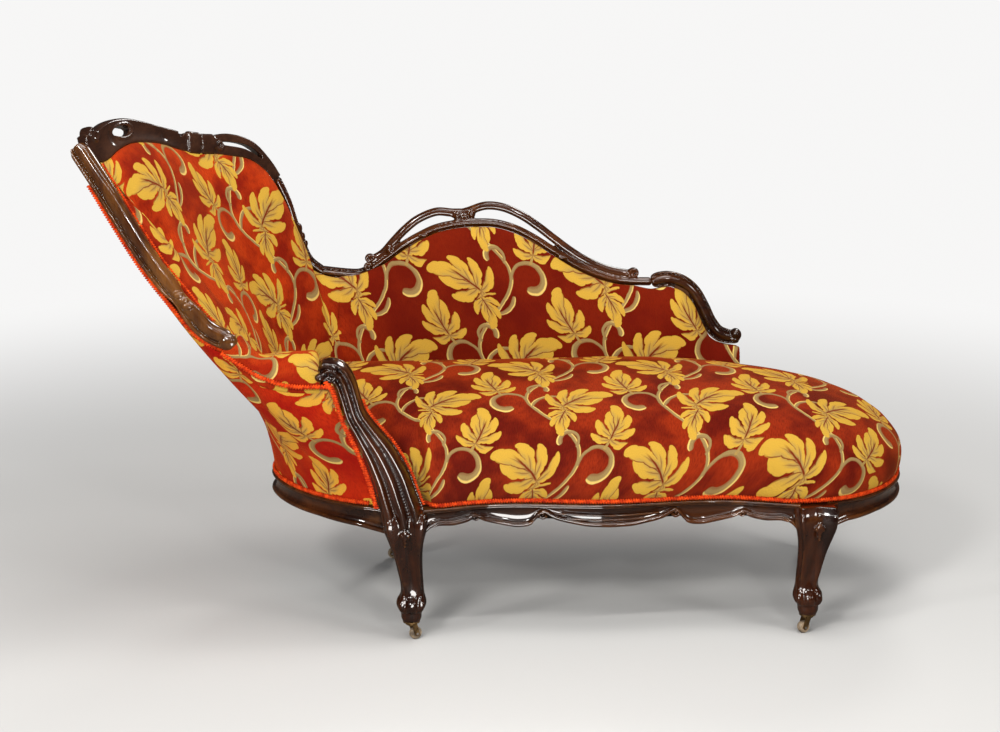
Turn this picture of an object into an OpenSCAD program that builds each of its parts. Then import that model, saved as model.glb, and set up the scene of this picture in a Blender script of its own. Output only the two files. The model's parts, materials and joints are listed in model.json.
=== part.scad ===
// Fainting couch: a chaise longue with a carved show-wood frame, a sprung seat and swivel castors.
// X runs along the couch with the foot end at +X, Y runs across it with the wall side at +Y, Z is up.
// The origin lies on the floor under the middle of the couch.

/* [Overall] */
// Length from the head's crest to the foot end of the seat
couch_l = 1740; // [1500:10:2000]
// Depth across the frame
couch_d = 620; // [560:10:760]
// Height of the head's crest
head_h = 1074; // [980:2:1160]

/* [Heights] */
// Top of the seat rails
rail_h = 282; // [262:1:302]
// Depth of a seat rail from top to underside
rail_deep = 42; // [36:1:50]
// Crown of the seat
seat_h = 497; // [480:1:520]
// Widest height of the seat pad above the rails
seat_bulge_h = 46; // [36:1:56]
// Thickness of the arm pad over its board
arm_pad_t = 58; // [46:1:66]
// Crown of the arm pad
arm_h = 618; // [606:1:640]
// Knob at the foot of the front stile
knob_h = 649; // [640:1:670]
// Valley between the head and the side back
valley_h = 662; // [640:1:690]
// Top of the pierced arch
arch_h = 827; // [800:1:860]
// Top of the shoulder near the foot end
shoulder_h = 681; // [665:1:700]
// End scroll of the side back
end_h = 528; // [518:1:545]

/* [Show-wood] */
// Thickness of a seat rail from face to back
rail_t = 30; // [24:1:36]
// How far the top bead of a seat rail stands proud
bead = 5; // [3:0.5:8]
// Width of the front stile's face
stile_w = 40; // [32:1:46]
// How far the front stile runs on past the crest
stile_over = 27; // [20:1:34]
// Thickness of the stiles and top rails from front to back
stile_t = 28; // [24:1:32]
// Width of the slim rear stile
rear_stile_w = 26; // [22:1:30]
// Width of the lower rails of crest and arch
low_rail_w = 17; // [14:1:20]
// Width of the pierced loops
loop_w = 19; // [15:1:23]
// Thickness of the pierced loops from front to back
loop_t = 24; // [20:1:28]
// Width of the shoulder rail
shoulder_w = 34; // [28:1:38]
// Width of the valley rail
valley_w = 22; // [18:1:26]
// Thickness of the arm post from front to back
post_t = 56; // [48:1:62]

/* [Legs] */
// Width of a front leg at the knee
knee_w = 92; // [80:1:98]
// Width of a rear leg at the top
rear_leg_w = 56; // [48:1:60]
// Height of the leg's sole above the floor
sole_h = 42; // [40:1:50]

/* [Upholstery] */
// Thickness of the inside back padding
pad_t = 46; // [36:1:54]
// Thickness of the fabric outside covers
cover_t = 3; // [2:0.5:4]
// Thickness of the hidden uprights inside the backs
frame_t = 22; // [18:1:24]
// Width of the hidden uprights
frame_w = 36; // [30:1:44]
// How far the seat pad swells past the rails
seat_swell = 12; // [6:1:16]
// Width of the arm pad
arm_pad_w = 78; // [66:1:86]
// Thickness of the gimp cord along the seams
gimp_d = 7; // [5:0.5:9]
// Gap kept between upholstery and its neighbours
fit_gap = 1.2; // [0.8:0.1:2]

/* [Seat inside] */
// Thickness of the webbing straps
web_t = 1.6; // [1:0.2:2.4]
// Width of a webbing strap
web_w = 50; // [40:1:56]
// Height of the webbing above the underside of the rails
web_up = 7; // [5:1:12]
// Height of a seat spring
spring_h = 112; // [104:1:116]
// Outer width of a seat spring
spring_d = 76; // [60:1:84]
// Wire of a seat spring
spring_wire = 4; // [3:0.5:5]
// Turns of a seat spring
spring_turns = 4; // [3:1:5]
// Thickness of the hessian over the springs
hessian_t = 1.5; // [1:0.1:2]
// Thickness of the dust cover
dust_t = 1; // [0.6:0.1:1.5]

/* [Castors] */
// Wheel diameter
wheel_d = 26; // [24:1:28]
// Wheel width
wheel_w = 13; // [11:1:15]
// Trail of the wheel behind its swivel
trail = 9; // [7:1:12]
// Swivel stem diameter
stem_d = 8; // [7:0.5:9]
// Axle diameter
axle_d = 5; // [4:0.5:6]
// Mounting plate diameter
plate_d = 36; // [34:1:40]
// Mounting plate thickness
plate_t = 3; // [2.5:0.5:3.5]
// Radial running clearance of stem and axle
running_gap = 0.05; // [0.03:0.01:0.08]

/* [Hidden] */

// Places in the tables below are counted in parts: 174 parts to the length, 62 to the depth
part_x = couch_l / 174;
part_y = couch_d / 62;
rail_low = rail_h - rail_deep;
arm_board_h = arm_h - arm_pad_t;
// Places of the legs in parts of length and depth
leg_shares = [[-21, -26.2], [62, -26.2], [-23.6, 25.4], [71.6, 25.4]];
leg_places = plan(leg_shares);
leg_front_y = -leg_places[0][1];
cut = 1;
round_fn = 48;

// Base outline at the outer face of the rails, in parts of length and depth
front_line_shares = [[-18.8, -26.6], [-12, -24.8], [-5, -23.1], [2, -22.9], [11, -24], [20.3, -24.7],
    [29.6, -24], [38.6, -22.9], [45.6, -23.1], [52.5, -24.8], [59.6, -26.8]];
foot_line_shares = [[65.5, -25.7], [73, -22.4], [79, -17], [83.5, -9.5], [85.6, -1], [85, 7.5],
    [82, 15.5], [78, 21.5], [74, 25.4]];
back_line_shares = [[68.7, 27.9], [64, 28.5], [56, 28.8], [20, 28.8], [-20.5, 28.8]];
head_line_shares = [[-24.5, -25.7], [-33.5, -21.2], [-40, -16], [-45, -10], [-48.6, -3], [-50.2, 4],
    [-49.2, 11], [-45.5, 18.5], [-39, 24.5], [-32, 27.6], [-26.5, 28.6]];

// Seat outline, in parts of length and depth
seat_line_shares = [[-15.5, -25.6], [-9, -23.9], [-2, -22.9], [5, -23.1], [13, -24.2], [20.3, -24.7],
    [28, -24.2], [36, -23.1], [44, -22.8], [51, -24.1], [58, -26.2], [65, -25.8], [72, -23],
    [78.5, -17.5], [83.2, -9.8], [85.6, -1], [85, 7.5], [82.2, 15.2], [78, 21], [72.5, 24.6],
    [66.8, 25.2], [62, 23.6], [58.8, 20.8], [56, 19.5], [50, 19.4], [39, 19.4], [28, 19.4],
    [17, 19.4], [6, 19.4], [-5, 19.4], [-16, 19.2], [-25, 18.6], [-32.2, 16.8], [-37.8, 13.4],
    [-41, 8.6], [-41.9, 3], [-41, -2.4], [-37.6, -7.2], [-32.8, -10.9], [-28.1, -14.2],
    [-23.8, -17.7], [-20.6, -21.4], [-17.4, -23.6]];
// Ends of the seat's crown line, in parts of length and depth
seat_crown_head_shares = [-32, 16];
seat_crown_foot_shares = [24, 17];
// Seat crown: size of each loop, and its height from the bulge up to the crown
seat_crown_shares = [[1, 0], [0.99, 0.16], [0.96, 0.31], [0.92, 0.465], [0.85, 0.605],
    [0.78, 0.695], [0.69, 0.775], [0.57, 0.845], [0.42, 0.92], [0.26, 0.97], [0.1, 1]];

// Rows of the back, each with length, depth, share of the height between two named
// heights, and share of the way along the head-end rail
arm_row_shares = [[-37.4, -28.2, 0, 0.058], [-41.6, -28.6, 0, 0.088], [-46.6, -29, 0.08, 0.13],
    [-51.5, -29, 0.3, 0.18]];
stile_row_shares = [[-56.9, -29, 0, 0.22], [-61.4, -29, 0.06, 0.26], [-66.5, -29, 0.21, 0.3],
    [-71.8, -28.6, 0.38, 0.34], [-77.3, -27.8, 0.595, 0.38], [-80.4, -27, 0.72, 0.41],
    [-84.2, -25.2, 0.855, 0.44]];
crest_row_shares = [[-81.6, -21.5, 0.835, 0.47], [-79.8, -17, 0.868, 0.5], [-77.8, -11.5, 0.883, 0.54],
    [-75.3, -6, 0.87, 0.58], [-72.8, -0.5, 0.843, 0.62], [-70.2, 4.5, 0.802, 0.66],
    [-67, 9, 0.767, 0.7], [-63.6, 12.7, 0.751, 0.735], [-59.8, 16, 0.727, 0.77],
    [-55.7, 19.3, 0.698, 0.805], [-52.2, 22, 0.63, 0.84]];
// Crest board on each of those rows: rise of its middle and its height, in lower rail widths
crest_board_shares = [[1.1, 3.1], [1.35, 3.7], [1.32, 3.64], [1.08, 3.16], [0.85, 2.7], [0.67, 2.35],
    [0.72, 2.45], [0.7, 2.4], [0.6, 2.2], [0.9, 2.8], [0.75, 2.5], [0.35, 1.8], [0, 1.5]];
rear_row_shares = [[-49.6, 23.7, 0.55, 0.865], [-47.4, 24.9, 0.42, 0.89],
    [-45.9, 25.7, 0.29, 0.91], [-44.4, 26.3, 0.175, 0.93], [-42.7, 26.8, 0.09, 0.95],
    [-39.8, 27.3, 0.03, 0.975], [-36.3, 27.5, 0.004, 1]];
arch_row_shares = [[-35.2, 27.5, 0], [-31.7, 27.8, 0.02], [-28.6, 27.9, 0.1], [-25.4, 28, 0.235], [-22.2, 28, 0.38],
    [-18, 28.1, 0.53], [-14, 28.2, 0.64], [-9.4, 28.4, 0.695], [-5, 28.5, 0.71],
    [-0.6, 28.5, 0.695], [3.7, 28.4, 0.62], [8, 28.2, 0.485], [12.2, 28, 0.32],
    [16.5, 28, 0.15], [21, 28, 0.01], [26, 28, -0.09], [30.5, 28, -0.12]];
end_row_shares = [[34.6, 28, 0.85], [38.2, 28, 0.89], [41.5, 28, 0.83], [44.1, 28, 0.69],
    [46.1, 27.9, 0.47], [48, 27.7, 0.22], [50.4, 27.5, 0.05], [54.8, 27.4, -0.02]];
// Where the feet of the side rows stand across the depth, by place along the length
side_foot_shares = [[-36, 26], [-31.7, 27.6], [-28.6, 28.3], [-25, 28.8], [60, 28.8]];
// Share of the head-end rail that the head's rows stand on
head_foot_end_share = 0.845;

// Pierced holes of the crest: place along its rows, rise, length and height in lower rail widths, tilt
crest_hole_shares = [[2.8, 1.2, 4, 1.3, -4], [10.1, 0.75, 3.6, 0.55, -2]];
// Loops that stand over the pierced holes, with length, depth and share of the height
arch_left_loop_shares = [[-29.5, 28.35, 0.19], [-26.2, 28.45, 0.29], [-23.6, 28.65, 0.46],
    [-21, 28.95, 0.62], [-18, 29.15, 0.76], [-14, 29.25, 0.855], [-10.4, 29.35, 0.84],
    [-7.4, 29.35, 0.84]];
arch_right_loop_shares = [[-10.6, 29.35, 0.8], [-7, 29.35, 0.855], [-3, 29.45, 0.93],
    [1, 29.45, 0.905], [5, 29.25, 0.8], [8.6, 29.05, 0.655], [12, 28.85, 0.495], [15.8, 28.65, 0.32],
    [19.4, 28.45, 0.18], [23.6, 28.45, 0.06], [27.4, 28.45, 0.0], [30.2, 28.45, -0.01]];

// Arm post: length, share of the height from the rail up to the arm, width in parts
post_shares = [[-22.7, 0, 8.6], [-23.6, 0.09, 8.3], [-24.9, 0.22, 7.9], [-27.2, 0.375, 6.8],
    [-30.3, 0.53, 5.1], [-32, 0.62, 4.6], [-33, 0.72, 4.5], [-34, 0.82, 4.7],
    [-35.4, 0.885, 4.8], [-37.3, 0.905, 4.2], [-38.9, 0.87, 3.4]];

// Lower edge of the front rail, from its middle out: share of the half length, share of the rail
apron_shares = [[0, -0.19], [0.1, -0.15], [0.2, 0.06], [0.26, 0.24], [0.28, 0.5], [0.31, 0.5],
    [0.335, 0], [0.37, -0.17], [0.43, -0.2], [0.52, -0.05], [0.62, 0.14], [0.68, 0.38],
    [0.73, 0.2], [0.81, 0.1], [0.89, 0.16], [0.94, 0], [1, -0.5]];
// Lower edge of the end rails, from one leg to the other
end_apron_shares = [[0, -0.45], [0.08, -0.1], [0.2, 0], [0.8, 0], [0.92, -0.1], [1, -0.4]];

// Cabriole leg: share of its height, step sideways and forwards, width and depth in knee widths
knee_shares = [[1, 0.12, 0.06, 1.02, 0.72], [0.92, 0.12, -0.03, 1.04, 0.78], [0.83, 0.12, -0.06, 0.98, 0.76],
    [0.75, 0.11, -0.055, 0.85, 0.7], [0.67, 0.09, -0.04, 0.74, 0.62], [0.57, 0.055, -0.01, 0.64, 0.57],
    [0.45, 0.02, 0.04, 0.575, 0.52], [0.33, -0.02, 0.065, 0.525, 0.49], [0.25, -0.03, 0.06, 0.53, 0.5],
    [0.19, -0.01, 0.02, 0.6, 0.58], [0.14, 0, -0.01, 0.615, 0.58], [0.09, 0, 0, 0.55, 0.52],
    [0.05, 0, 0, 0.44, 0.44], [0, 0, 0, 0.4, 0.4]];
// Rear leg: share of its height, step backwards, width in leg widths
rear_leg_shares = [[1, 0, 1], [0.8, 0, 1], [0.6, 0.04, 0.86], [0.4, 0.12, 0.76], [0.2, 0.22, 0.7],
    [0, 0.32, 0.68]];

function lerp(a, b, t) = a + (b - a) * t;
function unit(v) = v / norm(v);
function pick(v, i) = is_list(v) ? v[i] : v;
function middle(pts) = [for (c = [0:2]) lerp(0, 1, [for (p = pts) 1] * [for (p = pts) p[c]] / len(pts))];
function spline(a, b, c, d, t) =
    (2 * b + (c - a) * t + (2 * a - 5 * b + 4 * c - d) * t * t + (3 * b - a - 3 * c + d) * t * t * t) / 2;
// Smooth curve through points, with n steps between two of them
function curve(pts, n) = let (last = len(pts) - 1)
    [for (i = [0:last - 1]) for (k = [0:n - 1])
        spline(pts[max(i - 1, 0)], pts[i], pts[i + 1], pts[min(i + 2, last)], k / n), pts[last]];
// Closed smooth curve
function loop_curve(pts, n) = let (m = len(pts))
    [for (i = [0:m - 1]) for (k = [0:n - 1])
        spline(pts[(i + m - 1) % m], pts[i], pts[(i + 1) % m], pts[(i + 2) % m], k / n)];
// Point at a share of the way along a list of points
function along(pts, share) = let (s = share * (len(pts) - 1), i = min(floor(s), len(pts) - 2))
    lerp(pts[i], pts[i + 1], s - i);
// Value at x in a table of [x, value] rows
function table(rows, x, i = 0) = i >= len(rows) - 2 || x <= rows[i + 1][0]
    ? lerp(rows[i][1], rows[i + 1][1],
        min(1, max(0, (x - rows[i][0]) / (rows[i + 1][0] - rows[i][0]))))
    : table(rows, x, i + 1);
function plan(shares) = [for (s = shares) [s[0] * part_x, s[1] * part_y]];
function place(s, low, high) = [s[0] * part_x, s[1] * part_y, lerp(low, high, s[2])];
function places(shares, low, high) = [for (s = shares) place(s, low, high)];
function tangent(path, i) = unit(path[min(i + 1, len(path) - 1)] - path[max(i - 1, 0)]);
// Plan outline moved outwards, for an outline that runs anticlockwise
function outward(path, i) = let (t = tangent(path, i)) [t[1], -t[0]];
function loop_outward(path, i) = let (m = len(path), t = unit(path[(i + 1) % m] - path[(i + m - 1) % m]))
    [t[1], -t[0]];
function grown(path, out) = [for (i = [0:len(path) - 1]) path[i] + outward(path, i) * out];
function loop_grown(path, out) = [for (i = [0:len(path) - 1]) path[i] + loop_outward(path, i) * out];

// Rounded section of unit half width and half height
round_shares = [for (a = [18:36:342]) [sign(cos(a)) * pow(abs(cos(a)), 0.75),
    sign(sin(a)) * pow(abs(sin(a)), 0.75)]];
// Plain square section
square_shares = [[1, 1], [-1, 1], [-1, -1], [1, -1]];
// Slim section for cords and wire
cord_shares = [for (a = [0:72:288]) [cos(a), sin(a)]];

// Rings of a section swept along a path, with its width across the path's plan and its height up
function swept(path, w, h, section) = [for (i = [0:len(path) - 1])
    let (t = tangent(path, i), side = unit(cross(t, [0, 0, 1])), up = cross(side, t))
    [for (q = section) path[i] + side * q[0] * pick(w, i) / 2 + up * q[1] * pick(h, i) / 2]];
// Size along a swept piece that rounds off towards both ends
function tapered(size, n, end_share) = [for (i = [0:n - 1])
    size * (i == 0 || i == n - 1 ? end_share : 1)];

// Closed skin through rings of points, each end closed by a fan round its middle
module skin(rings) {
    n = len(rings);
    k = len(rings[0]);
    points = [for (r = rings) each r, middle(rings[0]), middle(rings[n - 1])];
    sides = [for (i = [0:n - 2]) for (j = [0:k - 1]) each [
        [i * k + j, i * k + (j + 1) % k, (i + 1) * k + j],
        [i * k + (j + 1) % k, (i + 1) * k + (j + 1) % k, (i + 1) * k + j]]];
    start = [for (j = [0:k - 1]) [n * k, (j + 1) % k, j]];
    finish = [for (j = [0:k - 1]) [n * k + 1, (n - 1) * k + j, (n - 1) * k + (j + 1) % k]];
    polyhedron(points, concat(sides, start, finish));
}

// Closed skin for thin curved slabs, each end closed straight across the slab
module slab(rings) {
    n = len(rings);
    k = len(rings[0]);
    points = [for (r = rings) each r];
    sides = [for (i = [0:n - 2]) for (j = [0:k - 1]) each [
        [i * k + j, i * k + (j + 1) % k, (i + 1) * k + j],
        [i * k + (j + 1) % k, (i + 1) * k + (j + 1) % k, (i + 1) * k + j]]];
    start = [for (j = [0:k / 2 - 2]) each [[j, k - 1 - j, j + 1], [j + 1, k - 1 - j, k - 2 - j]]];
    base = (n - 1) * k;
    finish = [for (j = [0:k / 2 - 2]) each [[base + j, base + j + 1, base + k - 1 - j],
        [base + j + 1, base + k - 2 - j, base + k - 1 - j]]];
    polyhedron(points, concat(sides, start, finish));
}

front_line = curve(plan(front_line_shares), 5);
foot_line = curve(plan(foot_line_shares), 3);
back_line = curve(plan(back_line_shares), 2);
head_line = curve(plan(head_line_shares), 3);
base_line = concat(front_line, foot_line, back_line, [for (i = [len(head_line) - 1:-1:0]) head_line[i]]);

// The wall of the back: each row has its top on the wood's middle line and its foot on the rail
wall_half = frame_t / 2 + fit_gap;
wall_inset = wall_half + cover_t + fit_gap;
foot_path = grown([for (i = [len(head_line) - 1:-1:0]) head_line[i]], -wall_inset);
function head_foot(share) = let (p = along(foot_path, 1 - share * head_foot_end_share)) [p[0], p[1], rail_h];
function side_foot(share) = [share * part_x, table(side_foot_shares, share) * part_y - wall_inset, rail_h];

arm_rows = [for (s = arm_row_shares) [place(s, arm_board_h, knob_h), head_foot(s[3]), 0]];
stile_rows = [for (s = stile_row_shares) [place(s, knob_h, head_h), head_foot(s[3]), stile_w / 2]];
crest_rows = [for (s = crest_row_shares) [place(s, valley_h, head_h), head_foot(s[3]), low_rail_w / 2]];
rear_rows = [for (s = rear_row_shares) [place(s, valley_h, head_h), head_foot(s[3]), rear_stile_w / 2]];
arch_rows = [for (s = arch_row_shares) [place(s, valley_h, arch_h), side_foot(s[0]), low_rail_w / 2]];
end_rows = [for (s = end_row_shares) [place(s, end_h, shoulder_h) - [0, 0, shoulder_w / 2],
    side_foot(s[0]), shoulder_w / 2]];
head_rows = concat(arm_rows, stile_rows, crest_rows, rear_rows);
side_rows = concat(arch_rows, end_rows);
stile_first = len(arm_rows);
crest_first = stile_first + len(stile_rows);
rear_first = crest_first + len(crest_rows);

// How the head flares outwards on its way up
flare_power_share = 1.5;
flare_swell_share = 0.25;
function flare(v) = pow(v, flare_power_share) * (1 + flare_swell_share * sin(180 * v));
function wall(rows, i, v) = let (top = rows[i][0], foot = rows[i][1], f = flare(max(v, 0)))
    [lerp(foot[0], top[0], f), lerp(foot[1], top[1], f), lerp(foot[2], top[2], v)];
step_share = 0.04;
function wall_normal(rows, i, v) = let (a = max(i - 1, 0), b = min(i + 1, len(rows) - 1))
    unit(cross(wall(rows, b, v) - wall(rows, a, v),
        wall(rows, i, min(v + step_share, 1)) - wall(rows, i, max(v - step_share, 0))));
function wall_along(rows, i, v) = let (a = max(i - 1, 0), b = min(i + 1, len(rows) - 1))
    unit(wall(rows, b, v) - wall(rows, a, v));
function wall_size(rows, i) = norm(rows[i][0] - rows[i][1]);
// How much longer the wood's half width is when measured along a row that crosses it at a slant
slant_limit_share = 0.3;
function slant(rows, i) = let (a = max(i - 1, 0), b = min(i + 1, len(rows) - 1))
    1 / max(slant_limit_share, norm(cross(unit(rows[i][0] - rows[i][1]), unit(rows[b][0] - rows[a][0]))));
// Highest and lowest share of a row that upholstery may use
function top_share(rows, i) = 1 - (rows[i][2] + fit_gap) * slant(rows, i) / wall_size(rows, i);
function head_top_share(i) = i < stile_first
    ? 1 - (board_t + fit_gap) * slant(head_rows, i) / wall_size(head_rows, i)
    : top_share(head_rows, i);
function low_share(rows, i) = 3 * fit_gap / wall_size(rows, i);

// Crown of padding across its width: full in the middle, rounded to a thin edge
pad_edge_share = 0.3;
function crown(t) = pad_edge_share + (1 - pad_edge_share) * pow(max(0, 1 - pow(abs(2 * t - 1), 3)), 0.6);
// Ring of a slab that lies on the wall from one offset to another
function wall_ring(rows, i, v0, v1, inner, outer, n) = concat(
    [for (k = [0:n]) let (v = lerp(v0, v1, k / n))
        wall(rows, i, v) + wall_normal(rows, i, v) * (inner + (outer - inner) * crown(k / n))],
    [for (k = [n:-1:0]) let (v = lerp(v0, v1, k / n))
        wall(rows, i, v) + wall_normal(rows, i, v) * inner]);
function flat_ring(rows, i, v0, v1, inner, outer, n) = concat(
    [for (k = [0:n]) let (v = lerp(v0, v1, k / n)) wall(rows, i, v) + wall_normal(rows, i, v) * outer],
    [for (k = [n:-1:0]) let (v = lerp(v0, v1, k / n)) wall(rows, i, v) + wall_normal(rows, i, v) * inner]);

wood_c = "#3b1a10";
hidden_wood_c = "#b08a5a";
fabric_c = "#9c2a14";
gimp_c = "#d8481c";
brass_c = "#a58a55";

// Rings of a seat rail along its outer line, with lower edge z given for each point
function rail_rings(line, low) = [for (i = [0:len(line) - 1])
    let (n = outward(line, i), zb = low[i], zi = max(rail_low, zb + bead))
    [for (q = [[-bead, zb], [bead / 3, zb + bead], [-bead / 2, lerp(zb, rail_h, 0.45)],
            [0, rail_h - 3 * bead], [bead, rail_h - 2 * bead], [bead, rail_h - bead / 2],
            [0, rail_h], [-rail_t, rail_h], [-rail_t, zi], [-rail_t / 2, zi]])
        [line[i][0] + n[0] * q[0], line[i][1] + n[1] * q[0], q[1]]]];
function low_edge(line, shares) = [for (i = [0:len(line) - 1])
    rail_low + rail_deep * table(shares, i / (len(line) - 1))];
function apron_edge(line) = [for (i = [0:len(line) - 1])
    rail_low + rail_deep * table(apron_shares, abs(2 * i / (len(line) - 1) - 1))];

module front_rail() {
    color(wood_c) skin(rail_rings(front_line, apron_edge(front_line)));
}

module head_end_rail() {
    line = [for (i = [len(head_line) - 1:-1:0]) head_line[i]];
    color(wood_c) skin(rail_rings(line, low_edge(line, end_apron_shares)));
}

module foot_end_rail() {
    color(wood_c) skin(rail_rings(foot_line, low_edge(foot_line, end_apron_shares)));
}

module back_rail() {
    color(wood_c) translate([0, 0, rail_low]) linear_extrude(rail_deep)
        polygon(concat(back_line, [for (p = grown([for (i = [len(back_line) - 1:-1:0]) back_line[i]],
            rail_t)) p]));
}

// Cabriole leg standing at a place, its sole above the castor
module cabriole_leg(i) {
    x = leg_places[i][0];
    y = leg_places[i][1];
    out = (i == 0 ? -1 : 1) * knee_w;
    rings = [for (s = knee_shares) let (z = lerp(sole_h, rail_h - fit_gap, s[0]))
        [for (q = round_shares) [x + s[1] * out + q[0] * s[3] * knee_w / 2, y + s[2] * knee_w + q[1] * s[4] * knee_w / 2, z]]];
    color(wood_c) difference() {
        skin(rings);
        translate([x, y, sole_h - cut]) cylinder(h = socket_h + cut, d = socket_d, $fn = round_fn);
    }
}

// Plain rear leg, swept back
module rear_leg(i) {
    x = leg_places[i][0];
    y = leg_places[i][1];
    rings = [for (s = rear_leg_shares) let (z = lerp(sole_h, rail_h - fit_gap, s[0]))
        [for (q = round_shares) [x + q[0] * s[2] * rear_leg_w / 2,
            y + (s[1] - rear_kick_share) * rear_leg_w + q[1] * s[2] * rear_leg_w / 2, z]]];
    color(wood_c) difference() {
        skin(rings);
        translate([x, y, sole_h - cut]) cylinder(h = socket_h + cut, d = socket_d, $fn = round_fn);
    }
}
rear_kick_share = 0.32;

module arm_post() {
    path = [for (s = post_shares) [s[0] * part_x, -leg_front_y - arm_out, lerp(rail_h, arm_h, s[1])]];
    widths = [for (s = post_shares) s[2] * part_x];
    smooth = curve(path, 2);
    wide = [for (i = [0:len(smooth) - 1]) along([for (w = widths) [w]], i / (len(smooth) - 1))[0]];
    n = len(smooth);
    rings = [for (i = [0:n - 1]) let (t = tangent(smooth, i), up = cross([0, 1, 0], t))
        [for (q = round_shares) smooth[i] + [0, 1, 0] * q[0] * post_t * (i > n - 3 ? 0.7 : 1) / 2
            + up * q[1] * wide[i] / 2]];
    color(wood_c) skin(rings);
}
arm_out = 14;

arm_line = curve([for (r = concat(arm_rows, [stile_rows[0]])) r[0]], 3);
module arm_board() {
    n = len(arm_line);
    rings = [for (i = [0:n - 1]) let (t = tangent(arm_line, i), side = unit([-t[1], t[0], 0]), up = cross(t, side))
        [for (q = square_shares) arm_line[i] - side * (q[0] + 1) * stile_t / 2 + up * (q[1] - 1) * board_t / 2]];
    color(hidden_wood_c) skin(rings);
}
board_t = 20;

module front_stile() {
    rise = curve([for (r = stile_rows) r[0]], 3);
    top = rise[len(rise) - 1];
    path = concat(rise, [top + unit(top - rise[len(rise) - 2]) * stile_over]);
    n = len(path);
    color(wood_c) skin(swept(path, stile_t, tapered(stile_w, n, 0.6), round_shares));
}

// The crest's rows smoothed: each with its place, the board's rise and height, and the row's lean
crest_wood = curve([for (i = [0:len(crest_rows) + 1])
    let (r = i == 0 ? stile_rows[len(stile_rows) - 1] : i > len(crest_rows) ? rear_rows[0] : crest_rows[i - 1])
    concat(r[0], crest_board_shares[i] * low_rail_w, unit(r[0] - r[1]))], 3);
function crest_at(i) = [crest_wood[i][0], crest_wood[i][1], crest_wood[i][2]];
crest_path = [for (i = [0:len(crest_wood) - 1]) crest_at(i)];
function crest_up(i) = let (t = tangent(crest_path, i), r = [crest_wood[i][5], crest_wood[i][6], crest_wood[i][7]])
    unit(r - t * (r * t));
function crest_ring(i, thick, extra, section) = let (up = crest_up(i), side = cross(tangent(crest_path, i), up))
    [for (q = section) crest_at(i) + up * (crest_wood[i][3] + q[1] * (crest_wood[i][4] / 2 + extra))
        + side * q[0] * thick / 2];

module head_crest() {
    n = len(crest_wood);
    knob = crest_at(2) + crest_up(2) * crest_board_shares[0][1] * low_rail_w / 2;
    heading = atan2(crest_at(3)[1] - crest_at(0)[1], crest_at(3)[0] - crest_at(0)[0]);
    color(wood_c) difference() {
        union() {
            skin([for (i = [0:n - 1]) crest_ring(i, stile_t, 0, round_shares)]);
            skin([for (i = [22:25]) crest_ring(i, stile_t + bead, bead / 2, square_shares)]);
            translate(knob) rotate([90, 0, heading]) cylinder(h = stile_t + bead, d = crest_knob_d,
                center = true, $fn = round_fn);
        }
        for (s = crest_hole_shares) crest_hole(s);
    }
}
crest_knob_d = 30;

// Pierced hole through the crest board
module crest_hole(s) {
    i = round(s[0] * 3);
    d = crest_at(i + 1) - crest_at(i - 1);
    translate(crest_at(i) + crest_up(i) * s[1] * low_rail_w)
        rotate([90, 0, atan2(d[1], d[0])]) rotate(atan2(d[2], norm([d[0], d[1]])) + s[4])
            linear_extrude(3 * stile_t, center = true) polygon([for (a = [0:18:342])
                [cos(a) * s[2], sin(a) * s[3]] * low_rail_w / 2]);
}

module rear_stile() {
    path = curve([for (i = [0:len(rear_rows) - 2]) rear_rows[i][0]], 2);
    color(wood_c) skin(swept(path, stile_t, tapered(rear_stile_w, len(path), 0.85), round_shares));
}

module valley_rail() {
    path = curve([rear_rows[5][0], rear_rows[6][0], arch_rows[1][0], arch_rows[2][0]], 3);
    color(wood_c) skin(swept(path, stile_t, tapered(valley_w, len(path), 0.9), round_shares));
}

module arch_rail() {
    low = curve(concat([for (i = [2:len(arch_rows) - 1]) arch_rows[i][0]], [end_rows[0][0]]), 2);
    left = curve(places(arch_left_loop_shares, valley_h, arch_h), 3);
    right = curve(places(arch_right_loop_shares, valley_h, arch_h), 3);
    color(wood_c) union() {
        skin(swept(low, stile_t, low_rail_w, round_shares));
        skin(swept(left, loop_t, tapered(loop_w, len(left), 0.7), round_shares));
        skin(swept(right, loop_t, tapered(loop_w, len(right), 0.7), round_shares));
    }
}

module shoulder_rail() {
    path = curve([for (r = end_rows) r[0]], 3);
    n = len(path);
    wide = [for (i = [0:n - 1]) shoulder_w * (i == 0 ? 0.7 : i == n - 1 ? 0.5 : 1)];
    color(wood_c) skin(swept(path, stile_t, wide, round_shares));
}

// Hidden upright that follows a row of the wall
module upright(rows, i) {
    top = 1 - (1 - tenon_share) * rows[i][2] * slant(rows, i) / wall_size(rows, i);
    rings = [for (s = [0:1 / 6:1]) let (v = lerp(low_share(rows, i) / 3, top, s), p = wall(rows, i, v),
            n = wall_normal(rows, i, v), a = wall_along(rows, i, v))
        [for (q = square_shares) p + n * q[0] * slat_share * frame_t / 2 - a * q[1] * frame_w / 2]];
    color(hidden_wood_c) skin(rings);
}

tenon_share = 0.4;
// The slats are planed a little under the frame's thickness, clear of the covers
slat_share = 0.8;

// Hidden rail along the rows of the wall, at one height
module tack_rail(rows, first, last) {
    rings = [for (i = [first:last]) let (v = (tack_h - rail_h) / (rows[i][0][2] - rail_h),
            p = wall(rows, i, v), n = wall_normal(rows, i, v),
            up = unit(wall(rows, i, v + step_share) - wall(rows, i, v - step_share)))
        [for (q = square_shares) p + n * q[0] * slat_share * frame_t / 2 + up * q[1] * tack_w / 2]];
    color(hidden_wood_c) skin(rings);
}
tack_h = 400;
tack_w = 30;

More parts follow.
